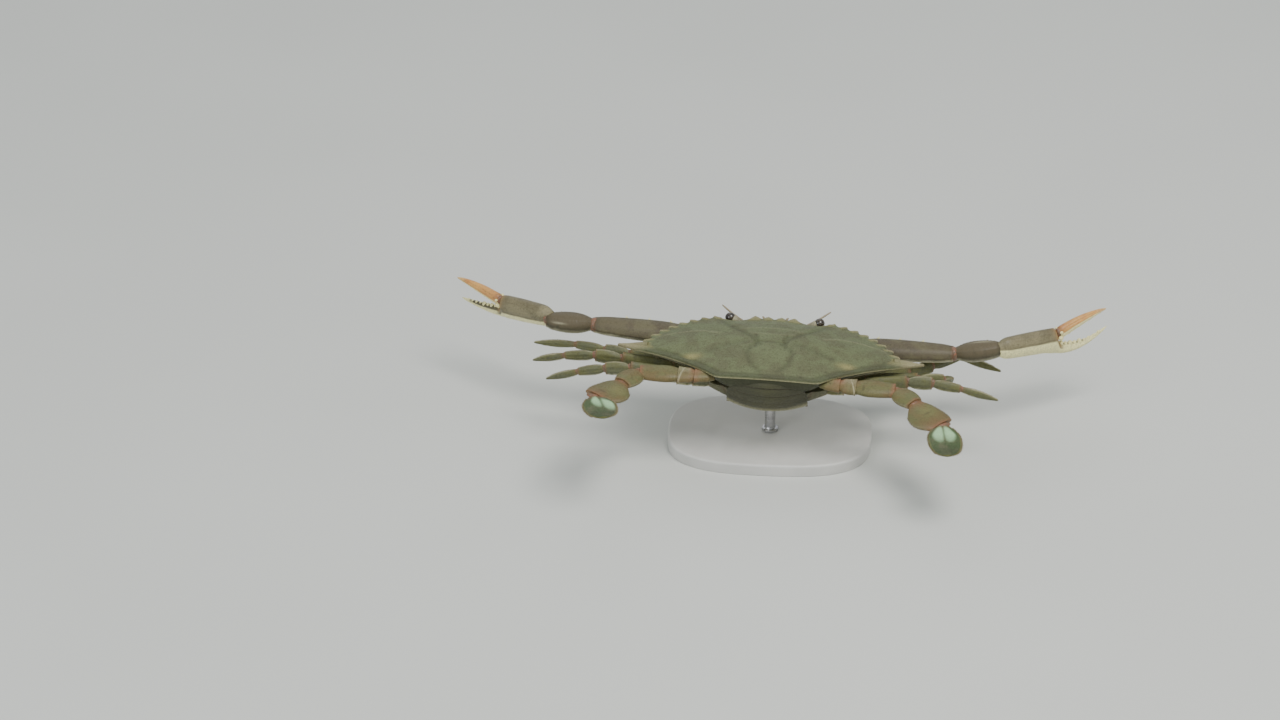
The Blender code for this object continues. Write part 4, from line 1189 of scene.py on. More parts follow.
def thumb_paint(palm, t, turn, side, suffix):
    """Orange above, cream below and red at the root, with a paler tip."""
    w = np.cos(turn)
    wander = noise_rows(t, turn, SEEDS["finger"] + (side < 0))
    cream_top = cream_line(palm, np.sin(turn), THUMB_CREAM_TOP[suffix])
    pale = smooth(cream_top - w - 0.06 * wander, -0.04, 0.08) * (1 - 0.55 * smooth(t, 0.72, 0.95))
    pale = np.maximum(pale, 0.36 * smooth(t, 0.70, 0.98))
    red = 0.34 * (1 - smooth(t, 0.02, 0.55)) * smooth(w, -0.2, 0.5) + 0.06 * smooth(t, 0.75, 1.0)
    dark = 0.15 * smooth(wander, 0.35, 0.9) + 0.45 * bump(t, 0.0, 0.05) * smooth(w, 0.0, 0.6)
    return paint_like(wander.shape, pale, red, 0.0, dark)


def make_moving_finger(look, palm, side, suffix):
    """The claw's moving finger: orange above, cream below, with a hooked tip and its teeth."""
    skin = Skin()
    gape = radians(THUMB_OPEN_DEG[suffix])
    t = np.linspace(-0.075, 0.992, 120)[:, None]
    turn = turns_round(80)[None, :]
    arch = thumb_arch(t) - 0.35 * smooth(t, 0.86, 1.0)
    half = thumb_half(np.clip(t, 0, 1)) * (0.55 + 0.45 * smooth(t, -0.08, 0.03))
    half = half * np.sqrt(np.clip(1 - smooth(t, 0.93, 1.0) ** 2, 0.03, 1))
    groove = 0 * turn
    for centre, width in ((0.85, 0.16), (2.0, 0.2)):
        groove = groove - 0.26 * (ridge(turn, centre, width) + ridge(turn, -centre, width))
    groove = groove * smooth(t, 0.02, 0.2) * smooth(1 - t, 0.05, 0.3)
    scale = 1 + groove / np.maximum(half, 0.8)
    up = half * np.cos(turn) * scale + arch
    rows = thumb_point(palm, gape, t, up, half * THUMB_THIN * np.sin(turn) * scale)
    skin.grid(rows, thumb_paint(palm, t, turn, side, suffix))
    down = -palm.across * cos(gape) + palm.axis * sin(gape)
    for k in range(THUMB_TEETH):
        share = 0.10 + 0.075 * k
        big = (0.6, 1.0, 0.75)[k % 3] * (1 - 0.045 * k)
        root = thumb_point(palm, gape, share, thumb_arch(share) + 0.6 - thumb_half(share), 0.0)
        skin.horn(root, down, 0.6 + 1.1 * big, 0.95 * (0.55 + 0.45 * big), BRIGHT_CREAM, BRIGHT_CREAM,
                  blunt=2.4, sides=20, steps=10)
    skin.dressed(f"finger_skin_{suffix}", look.finger, "finger", f"claw_finger_{suffix}", sharp=60)


def claw_pieces(side, suffix):
    """The arm, the wrist and the palm of one claw."""
    lean = radians(CLAW_LEAN_DEG[suffix])
    palm_face = side * np.array((0.0, cos(lean), -sin(lean)))
    lengths = (ARM.length, WRIST.length, PALM_LENGTH)
    arm, wrist, palm = chain(CLAW_ROOT, CLAW_TURNS[suffix], lengths, side, (CLAW_UP, CLAW_UP, palm_face))
    mitre = unit(wrist.axis + palm.axis)
    shift = np.array(PALM_SHIFT[suffix])
    shift = shift - mitre * (shift @ mitre)
    palm.start, palm.end = palm.start + shift, palm.end + shift
    return arm, wrist, palm


def front_turn(piece):
    """The turn of a piece whose skin looks straight ahead."""
    return atan2(-piece.face[1], -piece.across[1])


def arm_relief(front, deep):
    """The arm's flat top and bottom lines and its beaded front edge, as a relief."""
    def relief(s, turn):
        top = ridge(turn, front + ABOVE, 0.5) + ridge(turn, front + BELOW, 0.5)
        beads = 0.5 + 0.5 * np.sin(TURN * s * 26)
        edge = 0.28 * ridge(turn, front, 0.16) * beads + 0.20 * ridge(turn, front + pi, 0.2)
        return (0.22 * top * bump(s, 0.5, 0.4) + edge) * deep
    return relief


def make_arm(look, arm, side, suffix):
    """The claw's arm with its two short root joints."""
    skin = Skin()
    front = front_turn(arm)
    for k, (a, b) in enumerate(zip(ARM_ROOTS, ARM_ROOTS[1:])):
        shape = dict(steps=30) if k < 2 else dict(cuff=0.90, lip=1.4, steps=90)
        relief = arm_relief(front, 0.4 if k < 2 else 1.0)
        rows, s, turn = segment_rows(arm, ARM, (a, b - 0.004), relief, neck=0.86, sides=96, **shape)
        seed = SEEDS["arm"] + k + (10 if side > 0 else 0)
        paint = limb_paint(arm, s, turn, seed, -0.10, (0.15, 0.35), (0.03, 0.03))
        if k == 2:
            paint[..., ACCENT] = 0.55 * smooth(upness(arm, turn), -0.1, 0.6) * smooth(s, 0.45, 0.9)
            raise_paint(paint, DARK, 0.5 * smooth(s, 0.93, 1.0))
        skin.grid(rows, paint)
    skin.dressed(f"arm_skin_{suffix}", look.claw, "claw", f"claw_arm_{suffix}", sharp=60)


def make_arm_spines(look, arm, side, suffix):
    """The pale spines along the arm's front edge, their white tips brightened as a painted glint."""
    skin = Skin()
    front = front_turn(arm)
    ahead = arm.across * cos(front) + arm.face * sin(front)
    for share in ARM_SPINES:
        width = ARM.wide * float(swell(ARM, share))
        root = arm.start + arm.axis * arm.length * share + ahead * (width * 0.72)
        # The white tips are partly a painted glint.
        skin.horn(root, np.array(SPINE_LEAN) * (side, 1, 1), 5.4, 1.75, (0.4, 0.1, 0.2, 0),
                  (1.0, 0.0, 0.0, 0), blunt=1.6, sides=24, steps=20)
    skin.dressed(f"arm_spines_{suffix}", look.palm, "claw", sharp=60)


def wrist_relief(s, turn):
    """The wrist's two ridges, the inner one beaded."""
    bead = 0.6 + 0.4 * np.sin(TURN * s * 14)
    return 0.26 * ridge(turn, ABOVE + 0.55, 0.13) * bead + 0.20 * ridge(turn, ABOVE - 0.7, 0.16)


def make_wrist(look, wrist, side, suffix):
    """The wrist with its ridges, a painted highlight, painted shade on its lower side, and its spine."""
    skin = Skin()
    rows, s, turn = segment_rows(wrist, WRIST, WHOLE, wrist_relief, cuff=0.86, lip=1.8, sides=96, steps=70)
    paint = limb_paint(wrist, s, turn, SEEDS["wrist"] + side, -0.10, (0.25, 0.2), (0.05, 0.03))
    around, middle, spread = WRIST_HIGHLIGHT[suffix]
    # A painted highlight along the top; the ivory of the lower side is halved as painted shade.
    painted_highlight = 0.50 * ridge(turn, ABOVE + around, 0.10) * bump(s, middle, spread)
    paint[..., PALE] = np.maximum(0.5 * paint[..., PALE], painted_highlight)
    # More painted shade on the lower side: less rust and more dark.
    low = smooth(-upness(wrist, turn), -0.45, 0.25)
    paint[..., ACCENT] = 0.95 - 0.6 * low
    add_paint(paint, DARK, 0.5 * low + 0.5 * smooth(s, 0.90, 1.0))
    skin.grid(rows, paint)
    ahead = wrist.across * (1 if wrist.across[1] < 0 else -1)
    root = wrist.at(WRIST.length * 0.66, 0, 1.0) + ahead * 4.2
    skin.horn(root, ahead + wrist.axis * 0.5, 4.0, 1.3, (0.0, 0.3, 0.3, 0), (0.95, 0.2, 0, 0), blunt=1.2,
              sides=20, steps=14)
    skin.dressed(f"wrist_skin_{suffix}", look.claw, "claw", f"claw_wrist_{suffix}", sharp=60)


def make_claw_joints(look, arm, wrist, palm, suffix):
    """The red skin in the claw's joints and at the moving finger's hinge."""
    skin = Skin()
    membrane(skin, arm, wrist, WRIST, grow=1.02, deep=0.5)
    membrane(skin, wrist, palm, WRIST, grow=0.80, deep=0.4)
    hinge = palm.at(PALM_LENGTH + 0.2, THUMB_ROOT - 0.2, 0.0)
    skin.ball(hinge, (palm.across, palm.face, palm.axis), (2.6, 2.2, 1.6), SOFT_RED)
    root_seams(skin, arm, ARM, ARM_ROOTS, 0.82, 0.66, 1.6)
    skin.dressed(f"claw_joints_{suffix}", look.joint, "claw")


def make_claws(look):
    """Both claws: jointed arm with its spines, wrist, palm and fingers."""
    for side, suffix in SIDES:
        arm, wrist, palm = claw_pieces(side, suffix)
        make_arm(look, arm, side, suffix)
        make_arm_spines(look, arm, side, suffix)
        make_wrist(look, wrist, side, suffix)
        make_palm(look, palm, side, suffix)
        make_moving_finger(look, palm, side, suffix)
        make_claw_joints(look, arm, wrist, palm, suffix)


# ---- legs


def leg_pieces(leg, side, suffix):
    """The four pieces of a walking leg."""
    return chain(leg["root"], leg["turns"][suffix], leg["lengths"], side, [WALKING_FACE] * 4)


def oar_pieces(side, suffix):
    """The four pieces of a swimming leg, the last one its paddle."""
    lengths = [size.length for _, size in OAR_PIECES]
    return chain(OAR_ROOT, OAR_TURNS[suffix], lengths, side, [OAR_FACE] * 4)


def inset(size, amount):
    """The same limb sizes a little slimmer, to leave room for a fringe."""
    return size._replace(wide=size.wide - amount)


def long_grooves(deep, *turns, width=0.20):
    """A relief of grooves along a limb piece, each with a low ridge beside it on both sides."""
    def relief(s, turn):
        total = np.zeros(np.broadcast(s, turn).shape)
        for centre in turns:
            total -= deep * ridge(turn, centre, width)
            total += 0.4 * deep * (ridge(turn, centre - 0.45, 0.18) + ridge(turn, centre + 0.45, 0.18))
        return total * smooth(s, 0.05, 0.25) * smooth(1 - s, 0.04, 0.2)
    return relief


def round_share(size, t):
    """Share of the full width at t, rounded off at PADDLE_TIP where a piece runs out to nothing."""
    if size.far > 0.0:
        return swell(size, t)
    t = np.clip(np.asarray(t, float) / PADDLE_TIP, 0.0, 0.9999)
    along = np.clip((t - size.belly) / (1.0 - size.belly), 0.0, 1.0)
    return np.where(along > 0.0, (1.0 - along**2.5) ** 0.4, swell(size._replace(far=1.0), t))


def tapered_rows(piece, size, relief, sides=72, steps=90, last=0.985):
    """Rows of a last piece that runs out to a tip or a rounded end."""
    u = np.linspace(0.0, 1.0, steps + 1)
    t = np.sin(0.5 * pi * u) * last if size.far == 0.0 else u * last
    t = np.concatenate([[0.0] * 3, t])[:, None]
    shrink = np.concatenate([[0.3, 0.7, 0.92], np.ones(steps + 1)])[:, None]
    push = np.concatenate([[-0.9, -0.7, -0.35], np.zeros(steps + 1)])[:, None]
    turn = turns_round(sides)[None, :]
    share = round_share(size, t)
    end = np.sqrt(np.clip(1 - smooth(t, 0.93, 1.0) ** 2, 0.02, 1)) if size.far else 1.0
    w, h = oval(turn, size.edge)
    wide, thin = size.wide * share * end, thinness(size, share) * end
    scale = shrink + relief(t, turn) / np.maximum(wide, 0.6)
    rows = piece.at(piece.length * t + push, wide * w * scale, thin * h * scale)
    return rows, *np.broadcast_arrays(t, turn)


def top_turn(piece):
    """The turn of a leg piece's upper edge."""
    return 0.0 if piece.across[2] > 0 else pi


def leg_merus(piece, size, seed):
    """A walking leg's long piece, with its two short root joints."""
    skin = Skin()
    for k, (a, b) in enumerate(zip(LEG_ROOTS, LEG_ROOTS[1:])):
        relief = long_grooves(0.15 if k < 2 else 0.34, ABOVE, BELOW)
        rows, s, turn = segment_rows(piece, size, (a, b - 0.006), relief, neck=0.84, steps=(24, 24, 70)[k])
        skin.grid(rows, limb_paint(piece, s, turn, seed + k, -0.45, (0.10, 0.45)))
    return skin


def leg_shaft(piece, size, seed):
    """A walking leg's second or third piece, with a painted highlight along its upper edge."""
    skin = Skin()
    relief = long_grooves(0.30, ABOVE + 0.25, BELOW - 0.25, width=0.22)
    rows, s, turn = segment_rows(piece, size, WHOLE, relief, cuff=1.02)
    paint = limb_paint(piece, s, turn, seed, -0.50, (0.25, 0.5))
    # Painted highlight along the upper edge.
    raise_paint(paint, PALE, 0.35 * ridge(turn, top_turn(piece), 0.16))
    skin.grid(rows, paint)
    return skin


def leg_dactyl(piece, size, seed):
    """A walking leg's pointed last piece, pale along its lower edge, with a painted highlight along its upper
    edge.
    """
    skin = Skin()
    rows, s, turn = tapered_rows(piece, size, long_grooves(0.26, ABOVE, BELOW, width=0.24))
    paint = limb_paint(piece, s, turn, seed, -0.55, (0.5, 0.1), (0.07, 0.02))
    top = top_turn(piece)
    # A painted highlight along the upper edge, and fainter pale along the lower edge.
    edge = 0.85 * ridge(turn, top, 0.30) + 0.30 * ridge(turn, top + pi, 0.25)
    raise_paint(paint, PALE, edge * smooth(s, 0.05, 0.3))
    paint[..., ACCENT] = smooth(s, 0.80, 1.0) * 0.35
    skin.grid(rows, paint)
    return skin


def make_walking_legs(look):
    """The three walking legs of each side, each with its root joints, grooves and pointed tip."""
    makers = (leg_merus, leg_shaft, leg_shaft, leg_dactyl)
    insets = (0.0, 0.0, FRINGE_ROOM, FRINGE_ROOM)
    for side, suffix in SIDES:
        for number, (name, leg) in enumerate(WALKING_LEGS.items()):
            pieces = leg_pieces(leg, side, suffix)
            joints = Skin()
            root_seams(joints, pieces[0], LEG_MERUS, LEG_ROOTS, 0.86, 0.5, 1.2)
            for place, (piece, (part, size), make) in enumerate(zip(pieces, WALKING_PIECES, makers)):
                seed = SEEDS["leg"] + number * 20 + place * 3 + (side > 0)
                skin = make(piece, inset(size, insets[place]), seed)
                node = f"{name}_{part}_{suffix}"
                skin.dressed(f"{name}_{part}_skin_{suffix}", look.leg, "leg", node, sharp=60)
                if place:
                    membrane(joints, pieces[place - 1], piece, WALKING_PIECES[place - 1][1], grow=0.72)
            joints.dressed(f"{name}_joints_{suffix}", look.joint, "leg")


def oar_merus(piece, seed):
    """A swimming leg's long piece, with its two short root joints, its pale slanting line, and painted light
    on its root joints and its cuff.
    """
    skin = Skin()
    rear = 0.0 if piece.across[1] > 0 else pi
    front_way = ABOVE + (0.7 if rear == 0.0 else -0.7)
    red_ends, reaches = ((0.1, 0.85), (0.85, 0.1), (0.1, 0.8)), ((0.1, 0.55), (0.30, 0.1), (0.14, 0.15))
    relief = long_grooves(0.20, ABOVE, BELOW, width=0.3)
    for k, (a, b) in enumerate(zip(OAR_ROOTS, OAR_ROOTS[1:])):
        rows, s, turn = segment_rows(piece, OAR_MERUS, (a, b - 0.006), relief, neck=0.82, sides=84,
                                     steps=(24, 24, 60)[k])
        paint = limb_paint(piece, s, turn, seed + k, -0.45, red_ends[k], reaches[k])
        if k < 2:
            # Pale pink flecks on the front top of the root joints: their own colour, laid on thicker as
            # painted light where the shell's shade falls.
            front_top = ridge(turn, front_way, 0.9)
            paint[..., RED] *= 0.34 + 0.60 * front_top
            flecks = smooth(noise_rows(s * 2.3, turn, seed + 40 + k), -0.1, 0.6)
            raise_paint(paint, PALE, (0.20 + 0.25 * flecks) * front_top)
        add_paint(paint, RED, 0.16 * ridge(turn, rear, 0.9) * smooth(s, 0.1, 0.4))
        if k == 1:
            slant = s - 0.74 - 0.20 * np.cos(turn - rear)
            raise_paint(paint, PALE, 0.55 * bump(slant, 0.0, 0.045))
            # A faint painted highlight at the cuff.
            raise_paint(paint, PALE, 0.25 * smooth(s, 0.94, 0.99))
        skin.grid(rows, paint)
    return skin


def oar_shaft(piece, size, seed):
    """Rows and paint of a swimming leg's second or third piece, paler along both edges."""
    relief = long_grooves(0.16, ABOVE + 0.5, BELOW - 0.5, width=0.2)
    rows, s, turn = segment_rows(piece, size, WHOLE, relief, neck=0.78, cuff=1.0, sides=96, steps=64)
    paint = limb_paint(piece, s, turn, seed, -0.45, (0.80, 0.48), (0.17, 0.11))
    raise_paint(paint, PALE, 0.30 * (ridge(turn, 0.0, 0.22) + ridge(turn, pi, 0.22)))
    return rows, s, paint, noise_rows(s, turn, seed + 1), turn


def oar_carpus(piece, seed):
    """A swimming leg's short second piece, flecked with red."""
    skin = Skin()
    rows, s, paint, wander = oar_shaft(piece, inset(OAR_CARPUS, 0.4), seed)[:4]
    add_paint(paint, RED, 0.35 * smooth(wander, 0.3, 0.8) * smooth(s, 0.3, 0.8))
    skin.grid(rows, paint)
    return skin


def oar_propodus(piece, seed):
    """A swimming leg's broad third piece, yellower in its middle and redder towards the paddle."""
    skin = Skin()
    rows, s, paint, wander, turn = oar_shaft(piece, inset(OAR_PROPODUS, FRINGE_ROOM), seed)
    paint[..., ACCENT] = 0.45 * bump(s, 0.45, 0.26) * ridge(turn, ABOVE + 0.35, 0.7)
    paint[..., RED] *= 0.8
    add_paint(paint, RED, 0.22 * smooth(s + 0.05 * wander, 0.58, 0.98))
    add_paint(paint, DARK, 0.15)
    skin.grid(rows, paint)
    return skin


def paddle_relief(s, turn):
    """The rib down the middle of the paddle, above and below."""
    return 0.20 * (ridge(turn, ABOVE, 0.12) + ridge(turn, BELOW, 0.12)) * smooth(1 - s, 0.1, 0.5)


def oar_paddle(piece, seed, side, suffix):
    """The oval paddle, with a pale rim and a pale patch in two lobes."""
    skin = Skin()
    size = inset(OAR_PADDLE, PADDLE_FRINGE_ROOM)
    rows, s, turn = tapered_rows(piece, size, paddle_relief, sides=128, steps=110, last=PADDLE_TIP)
    w = np.cos(turn)
    wander = noise_rows(s, turn, seed)
    out = np.maximum(np.abs(w), smooth(s, 0.84, 0.975) * 1.02)
    rim = smooth(out + 0.03 * wander, 0.90, 0.98)
    bodyward = w if piece.across[0] * side < 0 else -w
    down = s - PATCH_SLANT[suffix] * bodyward
    aside = bodyward - PATCH_ASIDE[suffix]
    heart = ((down - 0.315) / 0.275) ** 2 + ((np.abs(aside) - 0.36) / 0.44) ** 2 + 0.10 * wander
    patch = smooth(-heart, -1.25, -0.30) * (1 - 0.66 * bump(aside, 0.0, 0.13))
    patch = patch * (1 - 0.5 * smooth(down, 0.28, 0.60)) * smooth(1 - np.abs(w), 0.02, 0.16)
    dark = 0.45 * smooth(s, 0.55, 0.85) + 0.3 * smooth(wander, 0.2, 0.9)
    skin.grid(rows, paint_like(s.shape, 0.45 * rim, 0.60 * bump(s, 0.0, 0.08), patch, dark))
    return skin


def make_oars(look):
    """The swimming legs: short broad joints and the oval paddle with its pale patch."""
    for side, suffix in SIDES:
        pieces = oar_pieces(side, suffix)
        seeds = [SEEDS["oar"] + place * 5 + (side > 0) for place in range(4)]
        skins = [make(*one) for make, *one in zip((oar_merus, oar_carpus, oar_propodus), pieces, seeds)]
        skins.append(oar_paddle(pieces[3], seeds[3], side, suffix))
        for (part, _), skin in zip(OAR_PIECES, skins):
            finish, slot = (look.paddle, "paddle") if part == "paddle" else (look.oar, "leg")
            skin.dressed(f"oar_{part}_skin_{suffix}", finish, slot, f"oar_{part}_{suffix}", sharp=60)
        joints = Skin()
        root_seams(joints, pieces[0], OAR_MERUS, OAR_ROOTS, 0.78, 0.42, 1.3)
        for before, after, (_, size) in zip(pieces, pieces[1:], OAR_PIECES):
            membrane(joints, before, after, size, grow=0.66, deep=0.5)
        joints.dressed(f"oar_joints_{suffix}", look.joint, "leg")


# ---- hair


def edge_hairs(skin, look, roots, out, along, length, row, rows, seed):
    """A fringe of hairs from a line of roots, leaning along it, in one row of the map's rows."""
    random = np.random.default_rng(seed)
    n = len(roots)
    out, along = np.broadcast_to(out, roots.shape), np.broadcast_to(along, roots.shape)
    lengths = length * look.hair_length * random.uniform(0.65, 1.0, n)
    jitter = random.normal(0.0, HAIR_SPREAD, (n, 3))
    way = unit(out + along * HAIR_LEAN + jitter)
    curl = along * (lengths * random.uniform(0.05, 0.25, n))[:, None]
    places = np.stack([np.linspace(0.02, 0.975, n), np.full(n, (row + 0.5) / rows * 0.95)], axis=-1)
    skin.hairs(roots, roots + way * lengths[:, None], look.hair_width, places, curl)


def limb_fringe(skin, look, piece, size, span, length, each_mm, row, rows, seed):
    """Fringes along the two edges of a flat limb piece."""
    low, high = span
    count = max(8, int(piece.length * (high - low) * each_mm))
    random = np.random.default_rng(seed)
    step = 0.01
    for edge, sign in enumerate((1.0, -1.0)):
        t = np.sort(random.uniform(low, high, count))
        tilt = random.uniform(-0.35, 0.35, count)
        share, further = round_share(size, t), round_share(size, t + step)
        middle = swollen_back(piece, size, t)
        drift = sign * (swollen_back(piece, size, t + step) - middle)
        slope = ((further - share) * size.wide + drift) / (step * piece.length)
        across = middle + sign * (size.wide * share - 0.25)
        roots = piece.at(piece.length * t, across, size.thin * tilt * 0.5)
        out = unit(piece.across * sign - piece.axis * slope[:, None] + piece.face * tilt[:, None] * 0.5)
        short = 0.45 * smooth(t, 0.84, 0.955) if size.far == 0.0 else 0.0
        lengths = length * (1 - short)
        edge_hairs(skin, look, roots, out, piece.axis, lengths, row + edge, rows, seed + 7 + edge)


def oar_fringe(look, side, suffix):
    """The fringes of one swimming leg and its paddle."""
    skin = Skin()
    pieces = oar_pieces(side, suffix)
    for row, (place, span, room, length) in enumerate(OAR_FRINGES):
        size = inset(OAR_PIECES[place][1], room)
        limb_fringe(skin, look, pieces[place], size, span, length, 26, row * 2, 8, SEEDS["oar_fringe"] + row)
    skin.dressed(f"oar_fringe_{suffix}", look.hair, "leg")


def leg_fringe(look, number, name, side, suffix):
    """The fringes of one walking leg."""
    skin = Skin()
    pieces = leg_pieces(WALKING_LEGS[name], side, suffix)
    for place, span, room in LEG_FRINGES:
        size = inset(WALKING_PIECES[place][1], room)
        seed = SEEDS["leg_fringe"] + number * 10 + place
        limb_fringe(skin, look, pieces[place], size, span, 0.80, 15, place * 2 - 2, 6, seed)
    skin.dressed(f"{name}_fringe_{suffix}", look.hair, "leg")


def jaw_fringe(look, side, suffix):
    """The fringes along both edges of a mouth plate."""
    skin = Skin()
    random = np.random.default_rng(SEEDS["jaw_fringe"] + side)
    middle, half = JAW_PLATE["middle"], JAW_PLATE["half"]
    for row, edge in enumerate((1, -1)):
        height, front, share = jaw_place(np.sort(random.uniform(0.06, 0.95, 300)))
        roots = xyz(side * (middle + edge * half * share * 0.93), front - 0.4, height)
        out = unit((0.35 * edge * side, -1.0, -0.25))
        edge_hairs(skin, look, roots, out, DOWN, 1.5, row, 2, SEEDS["jaw_fringe"] + 10 + row)
    skin.dressed(f"jaw_fringe_{suffix}", look.hair, "underside")


def flap_fringe(look):
    """The fringes along both edges of the tail flap, where it lies under the body."""
    skin = Skin()
    line, out = flap_frame(260)
    random = np.random.default_rng(SEEDS["flap_fringe"])
    for row, side in enumerate((1, -1)):
        k = np.sort(random.integers(140, 255, 560))
        (y, z, half, wrap), (out_y, out_z) = line[k].T, out[k].T
        roots = xyz(side * half * 0.975, y - out_y * wrap * half, z - out_z * wrap * half)
        away, along = xyz(side, out_y * 0.3, out_z * 0.3), xyz(0.0, out_z, -out_y)
        edge_hairs(skin, look, roots, unit(away), along, 1.2, row, 2, SEEDS["flap_fringe"] + 10 + row)
    skin.dressed("flap_fringe", look.hair, "underside")


def shell_fringe(look):
    """Two rows of hair under the shell's edge."""
    skin = Skin()
    edge, inside = shell_outline(14)
    keep = (edge[:, 1] > -24.0) & (edge[:, 1] < 30.0) & (np.abs(edge[:, 0]) < 63.0)
    x, y = inside[keep].T * 0.955
    for row in range(2):
        shrink = 1 - 0.02 * row
        roots = xyz(x * shrink, y * shrink, rim_height(x) - 3.0 - row * 1.3)
        edge_hairs(skin, look, roots, unit(xyz(x, y, -26.0)), DOWN, 1.1, row, 2, SEEDS["shell_fringe"] + row)
    skin.dressed("shell_fringe", look.hair, "underside")


def make_hair(look):
    """Fringes of fine hair along the legs, paddles, mouth plates, tail flap and shell."""
    for side, suffix in SIDES:
        oar_fringe(look, side, suffix)
        for number, name in enumerate(WALKING_LEGS):
            leg_fringe(look, number, name, side, suffix)
        jaw_fringe(look, side, suffix)
    flap_fringe(look)
    shell_fringe(look)


# ---- stand


def quarter_turn(count):
    """Even steps of a quarter turn, for rounded edges."""
    return np.linspace(0, 1, count) * pi / 2


def plate_rings():
    """The plate's rings from its lower middle over its edge to its upper middle: (x, y, height)."""
    wide, deep = BASE_HALF
    yield wide * 0.965, deep * 0.955, 0.0
    for corner in quarter_turn(5):
        drop = 0.4 * (1 - sin(corner))
        yield wide - drop, deep - drop, 0.4 * (1 - cos(corner))
    for corner in quarter_turn(13):
        inward = BASE_BEVEL * (1 - cos(corner))
        yield wide - inward, deep - inward, BASE_THICKNESS - BASE_BEVEL * (1 - sin(corner))
    for share in (0.97, 0.9, 0.75, 0.5, 0.25, 0.08):
        yield (wide - BASE_BEVEL) * share, (deep - BASE_BEVEL) * share, BASE_THICKNESS


def rod_profile(height):
    """The rod's collar, its shaft and the pad on top: (height, radius) of each ring."""
    collar, neck, pad = ROD_RADIUS + 1.4, height - PAD_THICKNESS, PAD_RADIUS
    profile = [
        (0.0, collar - 0.3), (0.25, collar), (1.2, collar), (1.5, collar - 0.3), (1.55, ROD_RADIUS + 0.25),
        (1.9, ROD_RADIUS),
    ]
    profile += [(z, ROD_RADIUS) for z in np.linspace(2.4, neck - 2.4, 12)]
    for corner in quarter_turn(7):
        flare = (pad - ROD_RADIUS - 0.4) * (1 - cos(corner))
        profile.append((neck - 2.2 + 2.2 * sin(corner) * 0.9, ROD_RADIUS + flare))
    profile += [(neck, pad - 0.25), (neck + 0.25, pad), (height - 0.3, pad), (height - 0.05, pad - 0.25)]
    return profile + [(height, pad - 0.6)]


def make_stand(look):
    """The low plate with rounded ends, and the short rod with its pad under the crab."""
    skin = Skin()
    turn = turns_round(256)
    c, s = powered(np.cos(turn), BASE_ROUNDING), powered(np.sin(turn), BASE_ROUNDING)
    rows = np.array([xyz(x * c, y * s, z) for x, y, z in plate_rings()])
    skin.grid(rows, paint_like(rows.shape[:2]))
    skin.dressed("stand_plate", look.base, "stand", "stand_base", posed=False, sharp=35)
    skin = Skin()
    low, top = (corner[2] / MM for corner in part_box("stand_rod"))
    turn = turns_round(64)
    rows = np.array([xyz(r * np.cos(turn), r * np.sin(turn), low + z) for z, r in rod_profile(top - low)])
    skin.grid(rows, paint_like(rows.shape[:2]))
    skin.dressed("stand_rod_skin", look.steel, "steel", "stand_rod", posed=False, sharp=35)


# ---- finishes


